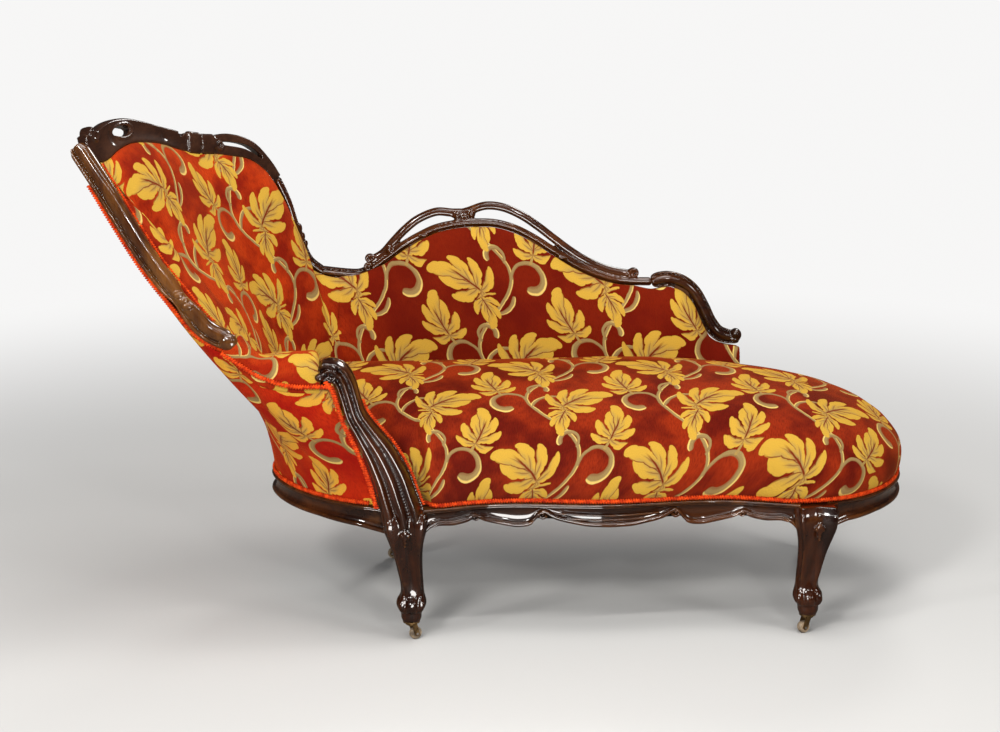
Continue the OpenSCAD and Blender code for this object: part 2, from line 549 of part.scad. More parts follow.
module head_front_upright() upright(head_rows, stile_first);
module head_middle_upright() upright(head_rows, crest_first + 6);
module head_rear_upright() upright(head_rows, rear_first + 4);
module side_head_upright() upright(side_rows, 5);
module side_middle_upright() upright(side_rows, 11);
module side_foot_upright() upright(side_rows, 19);
module head_tack_rail() tack_rail(head_rows, 1, len(head_rows) - 3);
module side_tack_rail() tack_rail(side_rows, 1, len(side_rows) - 2);

module corner_blocks() {
    color(hidden_wood_c) translate([0, 0, rail_low + web_up + 4 * web_t]) linear_extrude(block_deep)
        difference() {
            intersection() {
                seat_region(rail_t);
                for (p = leg_places) translate(p) rotate(45) square(block_w, center = true);
            }
            for (p = leg_places) translate(p) circle(d = knee_w + fit_gap, $fn = round_fn);
        }
}
block_w = 135;
block_deep = 24;

module seat_region(inset) {
    polygon(loop_grown(base_line, -inset));
}

module seat_webbing() {
    z = rail_low + web_up;
    color("#c9b48a") union() {
        translate([0, 0, z]) linear_extrude(web_t) intersection() {
            seat_region(rail_t - web_in);
            for (x = spring_xs) translate([x - web_w / 2, -couch_d]) square([web_w, 2 * couch_d]);
        }
        translate([0, 0, z + web_t]) linear_extrude(web_t) intersection() {
            seat_region(rail_t - web_in);
            for (y = spring_ys) translate([-couch_l, y - web_w / 2]) square([2 * couch_l, web_w]);
        }
    }
}
web_in = 10;
// Rows of springs along and across the seat, in parts
spring_x_shares = [-14, 0.5, 15, 29.5, 44, 58.5];
spring_y_shares = [-8.5, 7];
spring_xs = [for (s = spring_x_shares) s * part_x];
spring_ys = [for (s = spring_y_shares) s * part_y];

// Coil spring with a waist, as one unbroken helix
module spring() {
    steps = 8 * spring_turns;
    path = [for (i = [0:steps]) let (t = i / steps, a = 45 * i,
            r = (spring_d - spring_wire) / 2 * (1 - 0.35 * sin(180 * t)))
        [r * cos(a), r * sin(a), lerp(spring_wire / 2, spring_h - spring_wire / 2, t)]];
    skin([for (i = [0:steps]) let (t = tangent(path, i), side = unit(cross(t, [0, 0, 1])), up = cross(side, t))
        [for (q = square_shares) path[i] + side * q[0] * spring_wire / 2 * 0.8
            + up * q[1] * spring_wire / 2 * 0.8]]);
}

spring_z = rail_low + web_up + 2 * web_t + fit_gap;
module seat_springs() {
    color("#6f6f72") for (x = spring_xs) for (y = spring_ys) translate([x, y, spring_z]) spring();
}

seat_line = plan(seat_line_shares);
seat_crown_ends = plan([seat_crown_head_shares, seat_crown_foot_shares]);
seat_ends = [min([for (p = seat_line) p[0]]), max([for (p = seat_line) p[0]])];
function seat_middle(x) = lerp(seat_crown_ends[0], seat_crown_ends[1],
    (x - seat_ends[0]) / (seat_ends[1] - seat_ends[0]));
// How much a point of the seat lies at the head end, where the pad leans out with the back
function head_side(x) = min(1, max(0, (-x / part_x - 12) / 16));
function seat_lean(x, z) = head_reach * head_side(x) * (z - rail_h) / (seat_h - rail_h);
head_reach = 42;
// The seat pad keeps clear of the side back as far as that reaches
seat_rear_y = side_foot(end_row_shares[0][0])[1] - wall_half - pad_t - 3 * fit_gap;
function seat_rear_limit(x) = seat_rear_y + max(0, x - end_row_shares[len(end_row_shares) - 1][0] * part_x);
hessian_z = spring_z + spring_h + fit_gap;
cavity_share = 0.84;
function seat_loop(scale_share, out, z) = [for (i = [0:len(seat_line) - 1])
    let (b = seat_line[i], p = b + loop_outward(seat_line, i) * out - [seat_lean(b[0], z), 0],
        q = lerp(seat_middle(p[0]), p, scale_share)) [q[0], min(q[1], seat_rear_limit(q[0])), z]];

module spring_hessian() {
    color("#c2a878") translate([0, 0, hessian_z]) linear_extrude(hessian_t)
        polygon([for (p = seat_loop(cavity_share - 0.05, 0, rail_h)) [p[0], p[1]]]);
}

module seat_pad() {
    bulge_z = rail_h + seat_bulge_h;
    floor_z = rail_h + fit_gap;
    roof_z = hessian_z + hessian_t + fit_gap;
    rings = concat(
        [for (s = [0.08, cavity_share - 0.02]) seat_loop(s, 0, roof_z)],
        [seat_loop(cavity_share, 0, roof_z - 3 * fit_gap), seat_loop(cavity_share, 0, floor_z)],
        [seat_loop(1, -gimp_d - fit_gap, floor_z), seat_loop(1, -gimp_d / 2, floor_z + gimp_d),
            seat_loop(1, seat_swell * 0.7, lerp(floor_z, bulge_z, 0.5))],
        [for (s = seat_crown_shares) seat_loop(s[0], seat_swell, lerp(bulge_z, seat_h, s[1]))]);
    color(fabric_c) skin([for (i = [len(rings) - 1:-1:0]) rings[i]]);
}

// Thickness of the padding on the rows next to the crease between head and side back
crease_shares = [[0, 0.02], [1, 0.4], [2, 0.85], [3, 1]];
// How far the padding stops below the arm, in pad thicknesses
arm_tuck_share = 0.9;
module head_pad() {
    n = len(head_rows);
    rings = [for (i = [0:n - 1]) let (e = i == 0 ? 0.5 : lookup(n - 1 - i, crease_shares))
        wall_ring(head_rows, i, low_share(head_rows, i), head_top_share(i)
            - (i <= stile_first ? arm_tuck_share * pad_t / wall_size(head_rows, i) : 0),
            wall_half, wall_half + pad_t * e, 7)];
    color(fabric_c) slab(rings);
}

module side_back_pad() {
    n = len(side_rows);
    rings = [for (i = [0:n - 1]) let (e = i == n - 1 ? 0.5 : lookup(i, crease_shares))
        wall_ring(side_rows, i, low_share(side_rows, i), top_share(side_rows, i),
            wall_half, wall_half + pad_t * e, 7)];
    color(fabric_c) slab(rings);
}

module arm_pad() {
    line = arm_line;
    n = len(line);
    rings = [for (i = [3:n - 3]) let (t = tangent(line, i), side = unit([-t[1], t[0], 0]), up = cross(t, side),
            e = i == 3 ? 0.85 : i == n - 3 ? 0.6 : 1, h = max(arm_h - line[i][2], 4 * bead))
        [for (q = arm_pad_shares) line[i] - side * (arm_pad_in - q[0] * arm_pad_w * e)
            + up * (fit_gap + h * e * q[1])]];
    color(fabric_c) skin(rings);
}

arm_pad_in = 30;
arm_pad_shares = [[-0.5, 0], [-0.54, 0.4], [-0.42, 0.82], [0, 1], [0.42, 0.82], [0.54, 0.4], [0.5, 0], [0, 0]];

module head_outside_cover() {
    n = len(head_rows);
    rings = [for (i = [0:n - 1]) flat_ring(head_rows, i, low_share(head_rows, i), head_top_share(i),
        -wall_half - cover_t, -wall_half, 6)];
    color(fabric_c) slab(rings);
}

module side_outside_cover() {
    n = len(side_rows);
    rings = [for (i = [0:n - 1]) flat_ring(side_rows, i, low_share(side_rows, i), top_share(side_rows, i),
        -wall_half - cover_t, -wall_half, 3)];
    color(fabric_c) slab(rings);
}

module seat_gimp() {
    line = [for (p = loop_grown(seat_line, 0)) [p[0], p[1], rail_h + gimp_d / 2 + fit_gap / 2]];
    path = [for (i = [0:24]) line[i]];
    color(gimp_c) skin(swept(path, gimp_d * 0.8, gimp_d * 0.9, cord_shares));
}

module head_gimp() {
    path = [for (i = [1:rear_first]) let (v = low_share(head_rows, i) + gimp_d / wall_size(head_rows, i) / 2)
        wall(head_rows, i, v) - wall_normal(head_rows, i, v) * (wall_half + cover_t + gimp_d / 2 + fit_gap / 4)];
    color(gimp_c) skin(swept(path, gimp_d * 0.8, gimp_d * 0.8, cord_shares));
}

module dust_cover() {
    color("#2b2622") translate([0, 0, rail_low + dust_t]) linear_extrude(dust_t)
        offset(r = dust_corner) offset(delta = -dust_corner) difference() {
            seat_region(rail_t - dust_in);
            for (p = leg_places) translate(p) circle(d = knee_w + fit_gap, $fn = round_fn);
        }
}
dust_in = 3;
dust_corner = 12;

// Swivel of each castor at rest, in degrees
castor_turns = [25, 200, 160, 20];

socket_wall = 3;
socket_d = stem_d + 2 * running_gap + 2 * socket_wall;
stem_h = 26;
socket_h = stem_h + socket_wall;
screw_d = 3.5;
screw_l = 14;
horn_gap = 0.5;
horn_crown_t = 5;
cheek_t = 3;
wheel_gap = 0.6;
plate_low = sole_h - plate_t;
horn_top = plate_low - horn_gap;
horn_low = horn_top - horn_crown_t;
fork_w = wheel_w + 2 * wheel_gap + 2 * cheek_t;
screw_ring_d = (plate_d + socket_d) / 2;

module castor_place(i) {
    translate([leg_places[i][0], leg_places[i][1], 0]) rotate(castor_turns[i]) children();
}

module castor_plate(i) {
    color(brass_c) castor_place(i) translate([0, 0, plate_low]) difference() {
        union() {
            cylinder(h = plate_t, d = plate_d, $fn = round_fn);
            cylinder(h = plate_t + socket_h, d = socket_d, $fn = round_fn);
        }
        translate([0, 0, -cut]) cylinder(h = plate_t + stem_h + horn_gap + cut,
            d = stem_d + 2 * running_gap, $fn = round_fn);
        for (a = [60:120:300]) rotate(a) translate([screw_ring_d / 2, 0, -cut])
            cylinder(h = plate_t + 2 * cut, d = screw_d, $fn = round_fn);
    }
}

module castor_horn(i) {
    color(brass_c) castor_place(i) difference() {
        union() {
            translate([0, 0, horn_low]) cylinder(h = horn_crown_t + horn_gap + stem_h, d = stem_d, $fn = round_fn);
            translate([0, 0, horn_low]) cylinder(h = horn_crown_t, d = fork_w + 4 * cheek_t / 3, $fn = round_fn);
            for (s = [-1, 1]) translate([0, s * (fork_w - cheek_t) / 2, 0]) rotate([90, 0, 0])
                translate([0, 0, -cheek_t / 2]) linear_extrude(cheek_t) union() {
                    polygon([[-axle_d, horn_top], [axle_d * 1.6, horn_top],
                        [trail + axle_d, wheel_d / 2], [trail - axle_d, wheel_d / 2]]);
                    translate([trail, wheel_d / 2]) circle(r = axle_d, $fn = round_fn);
                }
        }
        translate([trail, fork_w, wheel_d / 2]) rotate([90, 0, 0])
            cylinder(h = 2 * fork_w, d = axle_d, $fn = round_fn);
    }
}

module castor_axle(i) {
    color("#8a8378") castor_place(i) translate([trail, fork_w / 2 + horn_gap, wheel_d / 2]) rotate([90, 0, 0])
        cylinder(h = fork_w + 2 * horn_gap, d = axle_d, $fn = round_fn);
}

module castor_wheel(i) {
    r = wheel_d / 2;
    color("#d9d0bf") castor_place(i) translate([trail, 0, r]) rotate([90, 0, 0])
        rotate_extrude($fn = 2 * round_fn) polygon([[axle_d / 2 + running_gap, -wheel_w / 2],
            [r * 0.86, -wheel_w / 2], [r, -wheel_w / 4], [r, wheel_w / 4], [r * 0.86, wheel_w / 2],
            [axle_d / 2 + running_gap, wheel_w / 2]]);
}

module castor_screws() {
    color(brass_c) for (i = [0:3]) castor_place(i) for (a = [60:120:300]) rotate(a)
        translate([screw_ring_d / 2, 0, plate_low]) cylinder(h = screw_l, d = screw_d, $fn = round_fn);
}

front_rail();
head_end_rail();
foot_end_rail();
back_rail();
cabriole_leg(0);  // leg_front_head
cabriole_leg(1);  // leg_front_foot
rear_leg(2);  // leg_rear_head
rear_leg(3);  // leg_rear_foot
arm_post();
arm_board();
front_stile();
head_crest();
rear_stile();
valley_rail();
arch_rail();
shoulder_rail();
head_front_upright();
head_middle_upright();
head_rear_upright();
head_tack_rail();
side_head_upright();
side_middle_upright();
side_foot_upright();
side_tack_rail();
corner_blocks();
seat_webbing();
seat_springs();
spring_hessian();
seat_pad();
head_pad();
side_back_pad();
arm_pad();
head_outside_cover();
side_outside_cover();
seat_gimp();
head_gimp();
dust_cover();
castor_screws();
castor_plate(0);  // castor_plate_front_head
castor_horn(0);  // castor_horn_front_head
castor_axle(0);  // castor_axle_front_head
castor_wheel(0);  // castor_wheel_front_head
castor_plate(1);  // castor_plate_front_foot
castor_horn(1);  // castor_horn_front_foot
castor_axle(1);  // castor_axle_front_foot
castor_wheel(1);  // castor_wheel_front_foot
castor_plate(2);  // castor_plate_rear_head
castor_horn(2);  // castor_horn_rear_head
castor_axle(2);  // castor_axle_rear_head
castor_wheel(2);  // castor_wheel_rear_head
castor_plate(3);  // castor_plate_rear_foot
castor_horn(3);  // castor_horn_rear_foot
castor_axle(3);  // castor_axle_rear_foot
castor_wheel(3);  // castor_wheel_rear_foot
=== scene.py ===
"""Dresses the fainting couch: carved show-wood, sprung upholstery in a leaf cloth, braid and castors.

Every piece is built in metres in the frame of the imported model: X along the couch with the foot end at +X,
Y across it with the wall side at +Y, Z up.
"""
import json
import logging
import math
from dataclasses import dataclass
from enum import Enum
from typing import Callable, Sequence

import bmesh
import bpy
import numpy as np
from mathutils import Matrix, Vector


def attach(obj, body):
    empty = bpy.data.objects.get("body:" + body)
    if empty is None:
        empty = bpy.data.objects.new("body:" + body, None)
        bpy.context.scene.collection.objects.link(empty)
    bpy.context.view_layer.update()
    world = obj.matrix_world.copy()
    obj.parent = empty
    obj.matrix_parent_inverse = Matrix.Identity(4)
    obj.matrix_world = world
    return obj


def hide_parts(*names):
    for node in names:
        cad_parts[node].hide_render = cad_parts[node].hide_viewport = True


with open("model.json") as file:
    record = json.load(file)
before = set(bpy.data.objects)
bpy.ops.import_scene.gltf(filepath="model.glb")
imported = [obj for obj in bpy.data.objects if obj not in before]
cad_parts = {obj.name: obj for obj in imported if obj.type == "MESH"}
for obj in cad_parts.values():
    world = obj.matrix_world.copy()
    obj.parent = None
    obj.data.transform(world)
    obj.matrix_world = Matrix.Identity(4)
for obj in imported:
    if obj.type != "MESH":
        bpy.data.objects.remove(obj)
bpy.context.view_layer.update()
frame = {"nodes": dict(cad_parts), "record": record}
LOG = logging.getLogger("couch")
Array = np.ndarray
Colour = tuple[float, float, float]
Place = Sequence[float]
MM = 0.001
BODY = "couch"
CLOTH_UV = "cloth"
CELL_ASPECT = 1.22
HALVES = (0.5, 0.5, 0.5)
FORWARD = (0, -1, 0)
ALONG = (1, 0, 0)
VOXEL = 0.0019
FINE_VOXEL = 0.0016


def unit(v: Array) -> Array:
    """Vectors of length one along the last axis."""
    return v / np.maximum(np.linalg.norm(v, axis=-1, keepdims=True), 1e-12)


def square_to(v: Array, way: Array) -> Array:
    """Directions of vectors after their share along a way is taken off."""
    return unit(v - way * np.sum(v * way, 1, keepdims=True))


def rightward(way: Array) -> Array:
    """Directions to the right of a way in plan."""
    return np.stack([way[:, 1], -way[:, 0]], 1)


def spline(points: Sequence[Place] | Array, steps: int, closed: bool = False) -> Array:
    """Smooth curve through points.

    Args:
        points: Rows of any width.
        steps: Steps between two rows.
        closed: Whether the curve joins up.

    Returns:
        The rows of the curve.
    """
    p = np.asarray(points, float)
    n = len(p)
    rows = []
    for i in range(n if closed else n - 1):
        span = np.arange(i - 1, i + 3)
        a, b, c, d = p[span % n if closed else np.clip(span, 0, n - 1)]
        for k in range(steps):
            t = k / steps
            rows.append((2 * b + (c - a) * t + (2 * a - 5 * b + 4 * c - d) * t ** 2
                         + (3 * b - a - 3 * c + d) * t ** 3) / 2)
    return np.array(rows if closed else rows + [p[-1]])


def tangents(path: Array, closed: bool = False) -> Array:
    """Directions along a path, one unit vector for each point."""
    return unit(np.roll(path, -1, 0) - np.roll(path, 1, 0) if closed else np.gradient(path, axis=0))


def travelled(path: Array) -> Array:
    """Length of a path up to each of its points, or of many paths side by side."""
    steps = np.linalg.norm(np.diff(path, axis=0), axis=-1)
    return np.concatenate([np.zeros_like(steps[:1]), np.cumsum(steps, axis=0)])


def bell(x: Array | float, middle: float, width: float) -> Array | float:
    """Smooth bump of height one."""
    return np.exp(-((x - middle) / width) ** 2)


def round_trip(count: int) -> Array:
    """Angles of a full turn."""
    return np.linspace(0, 2 * np.pi, count, endpoint=False)


def squared(v: Array, power: float) -> Array:
    """Sines or cosines bent so that the round which they draw turns squarer."""
    return np.sign(v) * np.abs(v) ** power


def there_and_back(front: Array, back: Array) -> Array:
    """Closed rings from the rows of a front and of a back."""
    return np.concatenate([front, back[:, ::-1]], axis=1)


def spread(values: Array, count: int) -> Array:
    """Values read at even steps along their row."""
    return np.interp(np.linspace(0, len(values) - 1, count), np.arange(len(values)), values)


def swells(share: Array, rate: float) -> Array:
    """Share that rises from nought at both ends of a run to one inside it."""
    return np.minimum(1, np.minimum(share, 1 - share) * rate)


@dataclass
class Couch:
    """Main sizes of the couch in metres, and the tables of its outlines in parts of length and depth."""

    part: float = 0.01
    rail_h: float = 0.282
    rail_deep: float = 0.042
    rail_t: float = 0.030
    bead: float = 0.005
    seat_h: float = 0.497
    seat_bulge: float = 0.046
    seat_swell: float = 0.012
    head_reach: float = 0.042
    head_span: float = 0.845
    board_h: float = 0.560
    arm_h: float = 0.618
    knob_h: float = 0.649
    valley_h: float = 0.662
    arch_h: float = 0.827
    shoulder_h: float = 0.681
    end_h: float = 0.528
    head_h: float = 1.074
    stile_w: float = 0.040
    stile_t: float = 0.028
    stile_over: float = 0.027
    rear_stile_w: float = 0.026
    low_rail_w: float = 0.017
    loop_w: float = 0.019
    loop_t: float = 0.024
    shoulder_w: float = 0.034
    valley_w: float = 0.022
    wall_half: float = 0.0122
    wall_inset: float = 0.0164
    cover_t: float = 0.003
    pad_t: float = 0.046
    gap: float = 0.0012
    front: tuple = ((-18.8, -26.6), (-12, -24.8), (-5, -23.1), (2, -22.9), (11, -24), (20.3, -24.7),
                    (29.6, -24), (38.6, -22.9), (45.6, -23.1), (52.5, -24.8), (59.6, -26.8))
    foot: tuple = ((65.5, -25.7), (73, -22.4), (79, -17), (83.5, -9.5), (85.6, -1), (85, 7.5), (82, 15.5),
                   (78, 21.5), (74, 25.4))
    head: tuple = ((-24.5, -25.7), (-33.5, -21.2), (-40, -16), (-45, -10), (-48.6, -3), (-50.2, 4),
                   (-49.2, 11), (-45.5, 18.5), (-39, 24.5), (-32, 27.6), (-26.5, 28.6))
    seat: tuple = ((-15.5, -25.6), (-9, -23.9), (-2, -22.9), (5, -23.1), (13, -24.2), (20.3, -24.7),
                   (28, -24.2), (36, -23.1), (44, -22.8), (51, -24.1), (58, -26.2), (65, -25.8), (72, -23),
                   (78.5, -17.5), (83.2, -9.8), (85.6, -1), (85, 7.5), (82.2, 15.2), (78, 21), (72.5, 24.6),
                   (66.8, 25.2), (62, 23.6), (58.8, 20.8), (56, 19.5), (50, 19.4), (39, 19.4), (28, 19.4),
                   (17, 19.4), (6, 19.4), (-5, 19.4), (-16, 19.2), (-25, 18.6), (-32.2, 16.8), (-37.8, 13.4),
                   (-41, 8.6), (-41.9, 3), (-41, -2.4), (-37.6, -7.2), (-32.8, -10.9), (-28.1, -14.2),
                   (-23.8, -17.7), (-20.6, -21.4), (-17.4, -23.6))
    arm_rows: tuple = ((-37.4, -28.2, 0, 0.058), (-41.6, -28.6, 0, 0.088), (-46.6, -29, 0.08, 0.13),
                       (-51.5, -29, 0.3, 0.18))
    stile_rows: tuple = ((-56.9, -29, 0, 0.22), (-61.4, -29, 0.06, 0.26), (-66.5, -29, 0.21, 0.3),
                         (-71.8, -28.6, 0.38, 0.34), (-77.3, -27.8, 0.595, 0.38), (-80.4, -27, 0.72, 0.41),
                         (-84.2, -25.2, 0.855, 0.44))
    crest_rows: tuple = ((-81.6, -21.5, 0.835, 0.47), (-79.8, -17, 0.868, 0.5), (-77.8, -11.5, 0.883, 0.54),
                         (-75.3, -6, 0.87, 0.58), (-72.8, -0.5, 0.843, 0.62), (-70.2, 4.5, 0.802, 0.66),
                         (-67, 9, 0.767, 0.7), (-63.6, 12.7, 0.751, 0.735), (-59.8, 16, 0.727, 0.77),
                         (-55.7, 19.3, 0.698, 0.805), (-52.2, 22, 0.63, 0.84))
    crest_board: tuple = ((1.1, 3.1), (1.35, 3.7), (1.32, 3.64), (1.08, 3.16), (0.85, 2.7), (0.67, 2.35),
                          (0.72, 2.45), (0.7, 2.4), (0.6, 2.2), (0.9, 2.8), (0.75, 2.5), (0.35, 1.8),
                          (0, 1.5))
    rear_rows: tuple = ((-49.6, 23.7, 0.55, 0.865), (-47.4, 24.9, 0.42, 0.89), (-45.9, 25.7, 0.29, 0.91),
                        (-44.4, 26.3, 0.175, 0.93), (-42.7, 26.8, 0.09, 0.95), (-39.8, 27.3, 0.03, 0.975),
                        (-36.3, 27.5, 0.004, 1))
    arch_rows: tuple = ((-35.2, 27.5, 0), (-31.7, 27.8, 0.02), (-28.6, 27.9, 0.1), (-25.4, 28, 0.235),
                        (-22.2, 28, 0.38), (-18, 28.1, 0.53), (-14, 28.2, 0.64), (-9.4, 28.4, 0.695),
                        (-5, 28.5, 0.71), (-0.6, 28.5, 0.695), (3.7, 28.4, 0.62), (8, 28.2, 0.485),
                        (12.2, 28, 0.32), (16.5, 28, 0.15), (21, 28, 0.01), (26, 28, -0.09),
                        (30.5, 28, -0.12))
    end_rows: tuple = ((34.6, 28, 0.85), (38.2, 28, 0.89), (41.5, 28, 0.83), (44.1, 28, 0.69),
                       (46.1, 27.9, 0.47), (48, 27.7, 0.22), (50.4, 27.5, 0.05), (54.8, 27.4, -0.02))
    left_loop: tuple = ((-29.5, 28.35, 0.19), (-26.2, 28.45, 0.29), (-23.6, 28.65, 0.46), (-21, 28.95, 0.62),
                        (-18, 29.15, 0.76), (-14, 29.25, 0.855), (-10.4, 29.35, 0.84), (-7.4, 29.35, 0.84))
    right_loop: tuple = ((-10.6, 29.35, 0.8), (-7, 29.35, 0.855), (-3, 29.45, 0.93), (1, 29.45, 0.905),
                         (5, 29.25, 0.8), (8.6, 29.05, 0.655), (12, 28.85, 0.495), (15.8, 28.65, 0.32),
                         (19.4, 28.45, 0.18), (23.6, 28.45, 0.06), (27.4, 28.45, 0.0), (30.2, 28.45, -0.01))
    post: tuple = ((-22.7, 0, 8.6), (-23.6, 0.09, 8.3), (-24.9, 0.22, 7.9), (-27.2, 0.375, 6.8),
                   (-30.3, 0.53, 5.1), (-32, 0.62, 4.6), (-33, 0.72, 4.5), (-34, 0.82, 4.7),
                   (-35.4, 0.885, 4.8), (-37.3, 0.905, 4.2), (-38.9, 0.87, 3.4))
    side_feet: tuple = ((-36, 26), (-31.7, 27.6), (-28.6, 28.3), (-25, 28.8), (60, 28.8))
    legs: tuple = ((-0.210, -0.262), (0.620, -0.262), (-0.236, 0.254), (0.716, 0.254))
    sole: float = 0.042

    def line(self, shares: Sequence[Place], steps: int, closed: bool = False) -> Array:
        """Plan outline from a table of places in parts, as a smooth curve in metres."""
        return spline(np.array(shares) * self.part, steps, closed)

    def places(self, rows: Sequence[Place], low: float, high: float) -> Array:
        """Places of a table whose third column is a share of the height between two heights."""
        return np.array([(r[0] * self.part, r[1] * self.part, low + (high - low) * r[2]) for r in rows])

    def post_rows(self) -> Array:
        """Place along the couch, height and width of each row of the arm post."""
        return np.array([(x * self.part, self.rail_h + (self.arm_h - self.rail_h) * rise, wide * self.part)
                         for x, rise, wide in self.post])

    def leg_height(self, share: float) -> float:
        """Height at a share of the way from the castor's plate up to the seat rail."""
        return self.sole + (self.rail_h - self.gap - self.sole) * share


COUCH = Couch()


@dataclass
class Wall:
    """A run of the back: tops on the wood's middle line, feet on the seat rail, and the wood's half width."""

    tops: Array
    feet: Array
    halves: Array
    least_slant: float = 0.3

    def dense(self, steps: int) -> "Wall":
        """The same run with more rows, `steps` for each."""
        rows = spline(np.hstack([self.tops, self.feet, self.halves[:, None]]), steps)
        return Wall(rows[:, :3], rows[:, 3:6], rows[:, 6])

    def joined(self, other: "Wall") -> "Wall":
        """This run with another one after it."""
        return Wall(np.vstack([self.tops, other.tops]), np.vstack([self.feet, other.feet]),
                    np.concatenate([self.halves, other.halves]))

    def grid(self, low: Array | float, high: Array | float, count: int) -> tuple[Array, Array, Array]:
        """Points and inward normals of the wall between two shares of its height.

        Args:
            low: Lowest share, one for each row.
            high: Highest share, one for each row.
            count: Points up each row.

        Returns:
            Points, normals and the share across of each point.
        """
        t = np.linspace(0, 1, count)
        low, high = (np.broadcast_to(np.asarray(v, float), len(self.tops)) for v in (low, high))
        v = low[:, None] + (high - low)[:, None] * t
        safe = np.maximum(v, 0)
        f = safe ** 1.5 * (1 + 0.25 * np.sin(np.pi * safe))
        p = self.feet[:, None] + (self.tops - self.feet)[:, None] * np.stack([f, f, v], -1)
        return p, unit(np.cross(np.gradient(p, axis=0), np.gradient(p, axis=1))), t

    def sizes(self) -> Array:
        """Length of each row."""
        return np.linalg.norm(self.tops - self.feet, axis=1)

    def slant(self) -> Array:
        """How much longer the wood's half width is along a row that crosses it at a slant."""
        across = np.linalg.norm(np.cross(unit(self.tops - self.feet), tangents(self.tops)), axis=1)
        return 1 / np.maximum(across, self.least_slant)

    def top_share(self) -> Array:
        """Highest share of each row that cloth may use."""
        return 1 - (self.halves + COUCH.gap) * self.slant() / self.sizes()

    def low_share(self) -> Array:
        """Lowest share of each row that cloth may use."""
        return 3 * COUCH.gap / self.sizes()


def head_foot(share: float) -> tuple[float, float, float]:
    """Place on the head-end rail where a row of the head stands.

    Args:
        share: Share of the way along the rail.

    Returns:
        The place.
    """
    line = COUCH.line(COUCH.head, 3)
    inner = line + rightward(tangents(line)) * COUCH.wall_inset
    s = share * COUCH.head_span * (len(inner) - 1)
    i = min(int(s), len(inner) - 2)
    p = inner[i] + (inner[i + 1] - inner[i]) * (s - i)
    return (p[0], p[1], COUCH.rail_h)


def build_walls() -> tuple[Wall, Wall, dict[str, int]]:
    """The head's wall, the side's wall, and where the head's parts begin.

    Returns:
        Both walls and the first rows of the stile, crest and rear stile.
    """
    c = COUCH
    groups = [(c.arm_rows, c.board_h, c.knob_h, 0.0), (c.stile_rows, c.knob_h, c.head_h, c.stile_w / 2),
              (c.crest_rows, c.valley_h, c.head_h, c.low_rail_w / 2),
              (c.rear_rows, c.valley_h, c.head_h, c.rear_stile_w / 2)]
    tops = np.vstack([c.places(rows, low, high) for rows, low, high, _ in groups])
    feet = np.array([head_foot(r[3]) for rows, *_ in groups for r in rows])
    head = Wall(tops, feet, np.array([half for rows, _, _, half in groups for _ in rows]))
    arch = c.places(c.arch_rows, c.valley_h, c.arch_h)
    end = c.places(c.end_rows, c.end_h, c.shoulder_h) - (0, 0, c.shoulder_w / 2)
    tops = np.vstack([arch, end])
    foot_y = np.interp(tops[:, 0] / c.part, *zip(*c.side_feet)) * c.part - c.wall_inset
    feet = np.stack([tops[:, 0], foot_y, np.full(len(tops), c.rail_h)], 1)
    halves = np.array([c.low_rail_w / 2] * len(arch) + [c.shoulder_w / 2] * len(end))
    ends = np.cumsum([len(rows) for rows, *_ in groups])
    starts = dict(zip(("stile", "crest", "rear"), map(int, ends)))
    return head, Wall(tops, feet, halves), starts


HEAD_WALL, SIDE_WALL, STARTS = build_walls()


class Value:
    """A socket of a graph that takes part in sums, so that a shader reads as formulas."""

    def __init__(self, graph: "Graph", socket: bpy.types.NodeSocket) -> None:
        """Keeps the graph and the socket."""
        self.graph, self.socket = graph, socket

    def __add__(self, other: object) -> "Value":
        """Sum with another value."""
        return self.graph.math("ADD", self, other)

    def __sub__(self, other: object) -> "Value":
        """Difference from another value."""
        return self.graph.math("SUBTRACT", self, other)

    def __rsub__(self, other: object) -> "Value":
        """Difference of another value from this one."""
        return self.graph.math("SUBTRACT", other, self)

    def __mul__(self, other: object) -> "Value":
        """Product with another value."""
        return self.graph.math("MULTIPLY", self, other)

    def __truediv__(self, other: object) -> "Value":
        """Quotient by another value."""
        return self.graph.math("DIVIDE", self, other)

    def __pow__(self, other: object) -> "Value":
        """Power of this value."""
        return self.graph.math("POWER", self, other)

    def __abs__(self) -> "Value":
        """Size without its sign."""
        return self.graph.math("ABSOLUTE", self)

    __radd__, __rmul__ = __add__, __mul__


